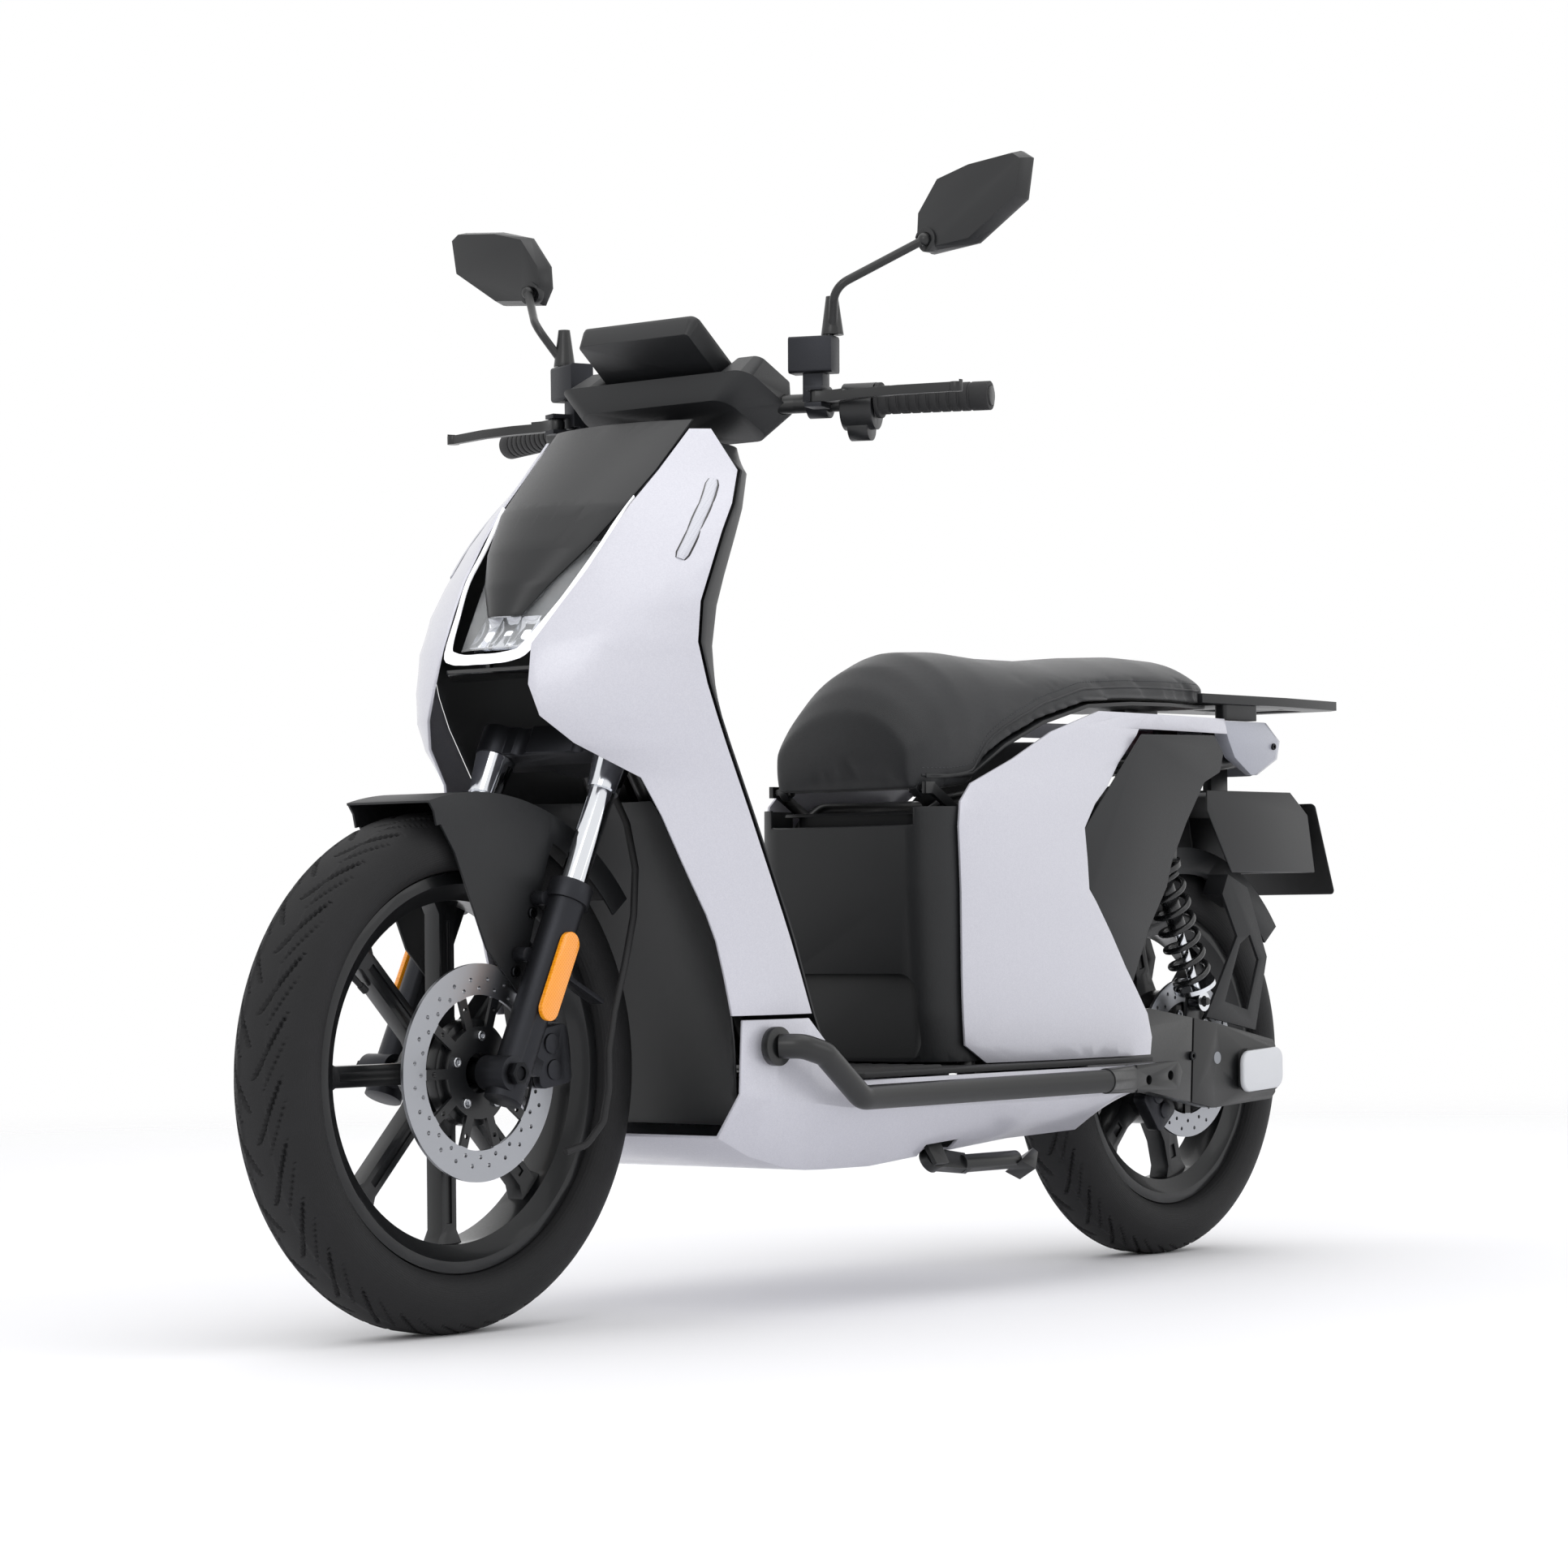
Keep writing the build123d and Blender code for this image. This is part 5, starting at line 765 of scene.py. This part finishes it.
class ScooterColours(bpy.types.PropertyGroup):
    """Colours that an owner would choose, as sRGB hex."""

    pearl: bpy.props.StringProperty(
        name="Pearl", description="Body paint, lightest", default="#CFCFD7"
    )
    pearl_shade: bpy.props.StringProperty(
        name="Pearl shade", description="Body paint, darkest flake", default="#BCBCC6"
    )
    charcoal: bpy.props.StringProperty(
        name="Charcoal", description="Grained mouldings", default="#202123"
    )
    seat: bpy.props.StringProperty(name="Seat", description="Seat cover", default="#232427")


def settings():
    """The scene's sizes."""
    return bpy.context.scene.scooter_sizes


# ---------------------------------------------------------------- operators
class SCOOTER_OT_stage(bpy.types.Operator):
    """Set the pale floor, the soft lights and the camera"""

    bl_idname = "scooter.stage"
    bl_label = "Stage"

    def execute(self, context):
        build_materials(context.scene.scooter_colours)
        floor_material, tree = new_material("pale_studio_floor")
        where = place(tree)
        reach = add(tree, "ShaderNodeVectorMath", links={0: where}, operation="LENGTH").outputs["Value"]
        fade = add(
            tree, "ShaderNodeMapRange", {"From Min": 2.0, "From Max": 6.0}, {"Value": reach},
            interpolation_type="SMOOTHSTEP",
        ).outputs["Result"]
        paint = add(
            tree, "ShaderNodeBsdfPrincipled", {"Roughness": 0.7, "Specular IOR Level": 0.2},
            {"Base Color": blend_colours(tree, noise(tree, where, 900.0), "#EDEDF0", "#F2F2F4")},
        )
        clear = add(tree, "ShaderNodeBsdfTransparent")
        mixed = add(
            tree, "ShaderNodeMixShader",
            links={0: fade, 1: paint.outputs["BSDF"], 2: clear.outputs["BSDF"]},
        )
        close_material(tree, mixed.outputs["Shader"])
        work = bmesh.new()
        bmesh.ops.create_circle(work, cap_ends=True, radius=7.0, segments=96)
        mesh = bpy.data.meshes.new("studio_floor")
        work.to_mesh(mesh)
        work.free()
        mesh.materials.append(floor_material)
        new_object("studio_floor", mesh)

        world = bpy.data.worlds.new("studio_white")
        context.scene.world = world
        world.use_nodes = True
        world.node_tree.nodes["Background"].inputs["Color"].default_value = (1, 1, 1, 1)
        world.node_tree.nodes["Background"].inputs["Strength"].default_value = 1.0
        context.scene.view_settings.view_transform = "Standard"
        for name, spot, target, size, power in (
            ("overhead_softbox", (0.2, 0.4, 3.4), (0, 0, 0.5), 3.0, 26),
            ("front_left_softbox", (3.4, 1.0, 2.4), (0.4, 0, 0.6), 1.6, 16),
            ("side_strip", (-1.2, 3.2, 1.9), (-0.3, 0, 0.5), 1.4, 6),
            ("rear_softbox", (-3.0, -2.2, 2.2), (0, 0, 0.6), 2.0, 14),
        ):
            light = bpy.data.lights.new(name, "AREA")
            light.size = size
            light.energy = power
            holder = bpy.data.objects.new(name, light)
            context.scene.collection.objects.link(holder)
            holder.location = spot
            holder.rotation_euler = (Vector(spot) - Vector(target)).to_track_quat("Z", "Y").to_euler()

        yaw, pitch, roll = -2.4532, 0.0308, -0.0115
        ahead = Vector((math.cos(pitch) * math.cos(yaw), math.cos(pitch) * math.sin(yaw), math.sin(pitch)))
        right = Vector((math.sin(yaw), -math.cos(yaw), 0))
        up = right.cross(ahead)
        turned_right = right * math.cos(roll) + up * math.sin(roll)
        turned_up = up * math.cos(roll) - right * math.sin(roll)
        data = bpy.data.cameras.new("studio_camera")
        data.sensor_width = 36
        data.lens = settings().focal_length
        data.clip_end = 60
        camera = bpy.data.objects.new("studio_camera", data)
        context.scene.collection.objects.link(camera)
        axes = Matrix((turned_right, turned_up, -ahead)).transposed().to_4x4()
        camera.matrix_world = Matrix.Translation((FRONT_AXLE.x + 3.475, 3.347, 0.444)) @ axes
        context.scene.camera = camera
        return {"FINISHED"}


class SCOOTER_OT_bodywork(bpy.types.Operator):
    """Finish the painted panels and the dark mouldings"""

    bl_idname = "scooter.bodywork"
    bl_label = "Bodywork"

    def execute(self, context):
        sizes = settings()
        for node, material in (
            ("front_shield_panels", "pearl"),
            ("lower_body_tub", "pearl"),
            ("rear_side_panels", "pearl"),
            ("tail_housing", "silver"),
            ("front_centre_panel", "panel_black"),
            ("nose_inner_panel", "gloss"),
            ("inner_leg_shield", "charcoal"),
            ("lower_fairing", "panel_black"),
            ("floorboard", "rubber"),
            ("underseat_body", "charcoal"),
            ("rear_inserts", "charcoal"),
            ("rear_mudguard", "panel_black"),
            ("rear_hugger", "charcoal"),
            ("front_fender", "charcoal"),
            ("bar_cover", "charcoal"),
            ("luggage_rack", "panel_black"),
            ("number_plate", "plate"),
            ("seat_pan", "panel_black"),
            ("battery_pack", "panel_black"),
        ):
            softened(node, material, sizes.edge_round)
        self.indicators()
        return {"FINISHED"}

    def indicators(self):
        """A slim frosted lens inside a dark painted shadow ring, let into each side of the shield."""
        spots = [
            (-286, 155.4, 938.4), (-265, 164.6, 914.0), (-243.6, 169.7, 890.0),
            (-224.7, 173.2, 866.5), (-206.7, 173.8, 843.4),
        ]
        for side, name in ((1, "left"), (-1, "right")):
            line = smooth_path([from_front(x, side * y, z) for x, y, z in spots], 4)
            facing = Vector((0.58, side * 0.56, 0.6))
            # The wider, thinner gloss-black band round each lens is a painted shadow ring, not a real part.
            for part, wide, thick, material in (
                ("seal", 0.0084, 0.0011, "gloss"), ("lens", 0.0068, 0.0022, "indicator")
            ):
                sizes_along = [(wide, thick)] * len(line)
                sizes_along[0] = sizes_along[-1] = (wide * 0.7, thick * 0.8)
                band = swept_band(
                    f"indicator_{part}_{name}", line, sizes_along, material, lambda p, f=facing: f
                )
                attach(band, "chassis")


class SCOOTER_OT_running_gear(bpy.types.Operator):
    """Finish the frame, fork, swingarm, shocks and stand"""

    bl_idname = "scooter.running_gear"
    bl_label = "Running gear"

    def execute(self, context):
        sizes = settings()
        for node, material in (
            ("main_frame", "powder"),
            ("swingarm", "powder"),
            ("side_stand", "powder"),
            ("side_rails", "powder"),
            ("steering_stem", "dark_cast"),
            ("fork_sliders", "dark_cast"),
            ("front_calliper", "dark_cast"),
            ("rear_calliper", "dark_cast"),
            ("shock_bodies", "enamel"),
            ("handlebar", "powder"),
            ("front_axle", "screw"),
        ):
            softened(node, material, sizes.metal_round)
        for node, material in (
            ("fork_stanchions", "chrome"),
            ("shock_rods", "chrome"),
            ("shock_springs", "enamel"),
            ("front_brake_hose", "rubber"),
            ("hub_motor_stator", "cast"),
            ("head_bearings", "steel"),
            ("front_wheel_bearings", "steel"),
        ):
            painted(node, material)
        self.arm_caps()
        return {"FINISHED"}

    def arm_caps(self):
        """A rounded silver cover on each end of the swingarm."""
        centre = from_rear(-86, 0, 240)
        for side, name in ((1, "left"), (-1, "right")):
            outline = [
                (centre.x + x, side * 0.1175, centre.z + z - 0.05 * x)
                for x, z in rounded_outline(0.094, 0.054, 0.016)
            ]
            cap = rounded_plate("arm_cap_" + name, outline, 0.008, (0, side, 0), "cap", 0.003)
            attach(cap, "swing")


class SCOOTER_OT_wheels(bpy.types.Operator):
    """Turn the tyres and finish rims and discs"""

    bl_idname = "scooter.wheels"
    bl_label = "Wheels"

    def execute(self, context):
        sizes = settings()
        tyre("front_tyre", "front_tyre_treaded", FRONT_AXLE, 16, "front_tyre", sizes)
        tyre("rear_tyre", "rear_tyre_treaded", REAR_AXLE, 14, "rear_tyre", sizes)
        for node, material in (
            ("front_rim", "wheel"),
            ("rear_rim", "wheel"),
        ):
            softened(node, material, sizes.metal_round)
        painted("front_brake_disc", "front_disc")
        painted("rear_brake_disc", "rear_disc")
        for axle, name, body, turn in (
            (FRONT_AXLE, "front_valve", "front_wheel", 0.9),
            (REAR_AXLE, "rear_valve", "rear_wheel", 0.7),
        ):
            self.valve(axle, name, body, turn)
        return {"FINISHED"}

    def valve(self, axle, name, body, turn):
        """A rubber tyre valve with a cap, pointing at the axle."""
        out = Vector((math.sin(turn), 0, math.cos(turn)))
        across = Vector((out.z, 0, -out.x))
        side = Vector((0, 1, 0))
        root = axle.z - 0.08 - 0.022
        profile = ((0.0, 0.006), (0.006, 0.0055), (0.010, 0.0036), (0.026, 0.0034),
                   (0.0262, 0.0042), (0.036, 0.0042), (0.037, 0.003))
        work = bmesh.new()
        rings = []
        for reach, radius in profile:
            centre = axle + out * (root - reach)
            rings.append([
                work.verts.new(centre + (across * math.cos(t) + side * math.sin(t)) * radius)
                for t in (2 * math.pi * k / 14 for k in range(14))
            ])
        bridged(work, rings)
        thing = from_bmesh(name, work, "rubber")
        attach(thing, body)


class SCOOTER_OT_lamps(bpy.types.Operator):
    """Build the headlight's cells, the daylight band and the lenses"""

    bl_idname = "scooter.lamps"
    bl_label = "Lamps"

    def execute(self, context):
        sizes = settings()
        for node, material in (
            ("headlight_lens", "clear"),
            ("tail_lamp_lens", "red"),
            ("side_reflectors", "amber"),
        ):
            softened(node, material, sizes.metal_round)
        self.liner()
        self.cells()
        self.daylight_band()
        return {"FINISHED"}

    def liner(self):
        """An aluminised liner a little behind the headlight's lens."""
        work = bmesh.new()
        work.from_mesh(frame["nodes"]["headlight_lens"].data)
        bmesh.ops.remove_doubles(work, verts=work.verts, dist=1e-5)
        for vert in work.verts:
            vert.co.x -= 0.018
            vert.co.y *= 0.94
        thing = from_bmesh("headlight_liner", work, "reflector")
        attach(thing, "chassis")

    def cells(self):
        """Three bowl-shaped reflector cells and their lit chips."""
        low, high = from_front(-92, 0, 753), from_front(-121, 0, 787)
        up = (high - low).normalized()
        side = Vector((0, 1, 0))
        out = side.cross(up).normalized()
        out = out if out.x > 0 else -out
        tall = (high - low).length
        wide = 0.026
        steps = 14
        work = bmesh.new()
        for column in (-1, 0, 1):
            grid = []
            for i in range(steps + 1):
                row = []
                for j in range(steps + 1):
                    s, t = 2 * i / steps - 1, 2 * j / steps - 1
                    edge = max(abs(s), abs(t))
                    bowl = 0.011 * min(1.0, (1 - edge) * 6) * (1 - 0.75 * (s * s + t * t) / 2)
                    point = low + up * tall * (j / steps) + side * (column * wide * 1.06 + s * wide / 2)
                    row.append(work.verts.new(point - out * (bowl + 0.004)))
                grid.append(row)
            for i in range(steps):
                for j in range(steps):
                    work.faces.new((grid[i][j], grid[i + 1][j], grid[i + 1][j + 1], grid[i][j + 1]))
        thing = from_bmesh("headlight_cells", work, "reflector")
        wall = thing.modifiers.new("wall", "SOLIDIFY")
        wall.thickness = 0.0012
        baked(thing)
        thing.data.shade_smooth()
        thing.data.set_sharp_from_angle(angle=math.radians(40))
        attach(thing, "chassis")
        for number, column in enumerate((-1, 0, 1)):
            centre = low + up * tall / 2 + side * column * wide * 1.06 - out * 0.012
            outline = [centre + side * a + up * b for a, b in rounded_outline(0.011, 0.013, 0.003)]
            chip = rounded_plate(f"led_{number}", outline, 0.003, out, "led", 0.0006)
            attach(chip, "chassis")

    def daylight_band(self):
        """The U-shaped light guide round the headlight."""
        half = [
            (-216, 99, 918), (-203, 96, 903), (-172, 91, 864), (-141, 86, 828),
            (-112, 74, 789), (-80, 59, 747), (-73, 44, 738), (-66, 20, 735), (-65, 0, 735),
        ]
        points = [from_front(*p) for p in half]
        points += [Vector((p.x, -p.y, p.z)) for p in reversed(points[:-1])]
        line = smooth_path(points, 4)
        sizes_along = []
        for point in line:
            low = max(0.0, min(1.0, (0.80 - point.z) / 0.05))
            top = max(0.25, min(1.0, (0.918 - point.z) / 0.03))
            sizes_along.append(((0.0032 + 0.0042 * low) * top, 0.0026))
        band = swept_band(
            "daylight_band", line, sizes_along, "guide",
            lambda p: Vector((0.75, 0.35 * (1 if p.y > 0.03 else -1 if p.y < -0.03 else 0), 0.55)),
        )
        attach(band, "chassis")
        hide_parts("daytime_light")


class SCOOTER_OT_seat(bpy.types.Operator):
    """Upholster the seat: a cloth cover over foam, with a hem and stitches"""

    bl_idname = "scooter.seat"
    bl_label = "Seat"

    def execute(self, context):
        sizes = settings()
        work = bmesh.new()
        work.from_mesh(frame["nodes"]["seat_cushion"].data)
        bmesh.ops.remove_doubles(work, verts=work.verts, dist=1e-5)
        mesh = bpy.data.meshes.new("seat_cover")
        work.to_mesh(mesh)
        work.free()
        cover = new_object("seat_cover", mesh)
        remesh = cover.modifiers.new("remesh", "REMESH")
        remesh.mode = "VOXEL"
        remesh.voxel_size = sizes.seat_voxel
        easing = cover.modifiers.new("easing", "SMOOTH")
        easing.factor = 0.5
        easing.iterations = 9
        baked(cover)
        start = np.empty(len(cover.data.vertices) * 3)
        cover.data.vertices.foreach_get("co", start)
        start = start.reshape(-1, 3)
        # The nose of the cover reaches down over the edge of the pan.
        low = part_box("seat_cushion")[0].z
        waist = low + 0.022
        nose = (start[:, 0] > -0.33) & (start[:, 2] < waist)
        start[nose, 2] = waist - (waist - start[nose, 2]) * (waist - low + 0.021) / (waist - low)
        normals = np.empty(len(cover.data.vertices) * 3)
        cover.data.vertices.foreach_get("normal", normals)
        shrunk = start - normals.reshape(-1, 3) * 0.003
        cover.data.vertices.foreach_set("co", shrunk.ravel())
        self.inflate(cover, shrunk, sizes)
        finer = cover.modifiers.new("finer", "SUBSURF")
        finer.levels = finer.render_levels = 1
        baked(cover)
        cover.data.shade_smooth()
        cover.data.materials.clear()
        cover.data.materials.append(MATERIALS["seat"])
        self.hem(cover)
        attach(cover, "seat")
        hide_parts("seat_cushion")
        return {"FINISHED"}

    def inflate(self, cover, shrunk, sizes):
        """Lets cloth under pressure swell the cover, then caps how far each point moved."""
        cloth = cover.modifiers.new("cloth", "CLOTH")
        cloth.settings.use_pressure = True
        cloth.settings.uniform_pressure_force = 4.0
        cloth.settings.effector_weights.gravity = 0.0
        cloth.settings.quality = 4
        cloth.settings.tension_stiffness = 20
        cloth.settings.compression_stiffness = 20
        cloth.settings.bending_stiffness = 3
        cloth.point_cache.frame_start = 1
        cloth.point_cache.frame_end = 14
        scene = bpy.context.scene
        for step in range(1, 13):
            scene.frame_set(step)
        graph = bpy.context.evaluated_depsgraph_get()
        swollen = cover.evaluated_get(graph).data
        moved = np.empty(len(swollen.vertices) * 3)
        swollen.vertices.foreach_get("co", moved)
        moved = moved.reshape(-1, 3) - shrunk
        cover.modifiers.clear()
        scene.frame_set(1)
        reach = np.linalg.norm(moved, axis=1)
        share = np.minimum(1.0, sizes.seat_swell / np.maximum(reach, 1e-9))
        result = shrunk + moved * share[:, None]
        # The underside stays flat on the pan.
        under = np.empty(len(cover.data.vertices) * 3)
        cover.data.vertices.foreach_get("normal", under)
        down = under.reshape(-1, 3)[:, 2] < -0.6
        result[down] = shrunk[down]
        cover.data.vertices.foreach_set("co", result.ravel())
        cover.data.update()

    def hem(self, cover):
        """A welt along the lower edge of the cover, with stitches above it."""
        graph = bpy.context.evaluated_depsgraph_get()
        skin = BVHTree.FromObject(cover, graph)
        low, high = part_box("seat_cushion")
        verts = np.empty(len(cover.data.vertices) * 3)
        cover.data.vertices.foreach_get("co", verts)
        verts = verts.reshape(-1, 3)
        welt_spots = []
        stitch_spots = []
        for side in (1, -1):
            line = []
            upper = []
            for x in np.linspace(low.x + 0.035, high.x - 0.02, 60):
                near = verts[np.abs(verts[:, 0] - x) < 0.006]
                base = near[:, 2].min()
                for lift, store in ((0.016, line), (0.025, upper)):
                    hit = skin.ray_cast(Vector((x, side * 0.4, base + lift)), Vector((0, -side, 0)))
                    if hit[0] is not None and abs(hit[0].y) > 0.03:
                        store.append(hit[0])
            welt_spots.append(line)
            stitch_spots += self.spaced(upper, settings().stitch_pitch, side)
        for number, line in enumerate(welt_spots):
            if len(line) < 10:
                raise RuntimeError("the seat's welt found no cover")
            path = smooth_path(line, 3)
            side = 1 if line[0].y > 0 else -1
            welt = swept_band(
                f"seat_welt_{'left' if side > 0 else 'right'}", path, [(0.0016, 0.0013)] * len(path),
                "seat", lambda p, s=side: Vector((0, s, 0)),
            )
            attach(welt, "seat")
        stitches = repeated("seat_stitches", stitch_mesh(), stitch_spots, "thread", "seat", 1.0)

    def spaced(self, points, pitch, side):
        """Spots at an even pitch along a line of points, lying along it."""
        spots = []
        left = 0.0
        for a, b in zip(points, points[1:]):
            run = (b - a).length
            way = (b - a).normalized()
            while left < run:
                spots.append((a + way * left + Vector((0, side * 0.0002, 0)), way, pitch * 0.62))
                left += pitch
            left -= run
        return spots


class SCOOTER_OT_controls(bpy.types.Operator):
    """Finish the grips, switches, levers, mirrors and display on the bar"""

    bl_idname = "scooter.controls"
    bl_label = "Controls"

    def execute(self, context):
        sizes = settings()
        for node, material in (
            ("grip_left", "rubber"),
            ("throttle_grip", "rubber"),
            ("switch_housings", "panel_black"),
            ("brake_master_cylinders", "dark_cast"),
            ("brake_lever_left", "powder"),
            ("brake_lever_right", "powder"),
            ("mirror_stems", "powder"),
            ("mirror_head_left", "panel_black"),
            ("mirror_head_right", "panel_black"),
            ("display_unit", "panel_black"),
            ("horn_button", "rubber"),
            ("start_button", "rubber"),
        ):
            softened(node, material, sizes.metal_round)
        self.mirror_glasses()
        self.display_glass()
        return {"FINISHED"}

    def mirror_glasses(self):
        """Silvered glass on the rear of each mirror head."""
        outline = [(319, 1281), (365, 1292), (426, 1297), (436, 1291), (428, 1250),
                   (364, 1211), (303, 1206), (294, 1222), (297, 1247)]
        rear_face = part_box("mirror_head_left")[0].x
        for side, name in ((1, "left"), (-1, "right")):
            points = [Vector((rear_face + 0.0002, side * y / 1000, z / 1000)) for y, z in outline]
            glass = rounded_plate("mirror_glass_" + name, points, 0.0016, (-1, 0, 0), "mirror", 0.0006)
            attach(glass, "mirror_" + name)

    def display_glass(self):
        """A dark bonded glass over the display."""
        normal = Vector((-0.62, 0, 0.78)).normalized()
        side = Vector((0, 1, 0))
        up = side.cross(normal).normalized()
        centre = from_front(-372, 0, 1102) + normal * 0.0036
        outline = [centre + side * a + up * b for a, b in rounded_outline(0.156, 0.072, 0.004)]
        glass = rounded_plate("display_glass", outline, 0.001, normal, "screen", 0.0003)
        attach(glass, "steering")


class SCOOTER_OT_fasteners(bpy.types.Operator):
    """Set socket screws on discs, fender, tail and swingarm"""

    bl_idname = "scooter.fasteners"
    bl_label = "Fasteners"

    def execute(self, context):
        left = Vector((0, 1, 0))
        screw = socket_screw_mesh
        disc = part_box("front_brake_disc")[1].y
        spots = [
            (FRONT_AXLE + Vector((0.040 * math.cos(t), disc - FRONT_AXLE.y, 0.040 * math.sin(t))), left, 0.0055)
            for t in (math.radians(72 * k + 18) for k in range(5))
        ]
        repeated("front_disc_bolts", screw(), spots, "bright_screw", "front_wheel")
        rear_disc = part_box("rear_brake_disc")[1].y
        spots = [
            (REAR_AXLE + Vector((0.060 * math.cos(t), rear_disc - 0.0002, 0.060 * math.sin(t))), left, 0.0055)
            for t in (math.radians(60 * k + 12) for k in range(6))
        ]
        repeated("rear_disc_bolts", screw(), spots, "bright_screw", "rear_wheel")
        self.surface_screws(
            "fender_screws", "front_fender",
            ((-81, 455), (-53, 391)), 0.0062, "screw", "fork_lower", from_front,
        )
        self.surface_screws(
            "tail_screws", "tail_housing", ((-150, 668),), 0.0045, "screw", "chassis", from_rear
        )
        self.surface_screws(
            "arm_screws", "swingarm", ((-50, 232), (60, 262), (-20, 300)), 0.006, "screw", "swing", from_rear
        )
        return {"FINISHED"}

    def surface_screws(self, name, node, places, size, material, body, datum):
        """Screws set on both sides of a node where rays from the side meet it."""
        skin = tree_of([node])
        spots = []
        for x, z in places:
            for side in (1, -1):
                point = datum(x, side * 400, z)
                hit = skin.ray_cast(point, Vector((0, -side, 0)))
                if hit[0] is not None:
                    out = hit[1] if hit[1].y * side > 0 else -hit[1]
                    spots.append((hit[0] - out * 0.001, out, size))
        if spots:
            repeated(name, socket_screw_mesh(), spots, material, body)


class SCOOTER_PT_panel(bpy.types.Panel):
    """Lists the scooter's settings and steps"""

    bl_label = "Moped Scooter"
    bl_idname = "SCOOTER_PT_panel"
    bl_space_type = "VIEW_3D"
    bl_region_type = "UI"
    bl_category = "Scooter"

    def draw(self, context):
        for group in (context.scene.scooter_sizes, context.scene.scooter_colours):
            for name in group.__annotations__:
                self.layout.prop(group, name)
        for step in STEPS:
            self.layout.operator(step.bl_idname)


STEPS = (
    SCOOTER_OT_stage,
    SCOOTER_OT_bodywork,
    SCOOTER_OT_running_gear,
    SCOOTER_OT_wheels,
    SCOOTER_OT_lamps,
    SCOOTER_OT_seat,
    SCOOTER_OT_controls,
    SCOOTER_OT_fasteners,
)
CLASSES = (ScooterSizes, ScooterColours, *STEPS, SCOOTER_PT_panel)


def register():
    """Registers the classes and hangs the settings on the scene."""
    for part in CLASSES:
        bpy.utils.register_class(part)
    bpy.types.Scene.scooter_sizes = bpy.props.PointerProperty(type=ScooterSizes)
    bpy.types.Scene.scooter_colours = bpy.props.PointerProperty(type=ScooterColours)


def unregister():
    """Takes the settings and the classes away again."""
    del bpy.types.Scene.scooter_colours
    del bpy.types.Scene.scooter_sizes
    for part in reversed(CLASSES):
        bpy.utils.unregister_class(part)


def main():
    """Builds everything in order."""
    register()
    for step in STEPS:
        group, name = step.bl_idname.split(".")
        if getattr(getattr(bpy.ops, group), name)() != {"FINISHED"}:
            raise RuntimeError(step.bl_idname + " didn't finish")


if __name__ == "__main__":
    main()
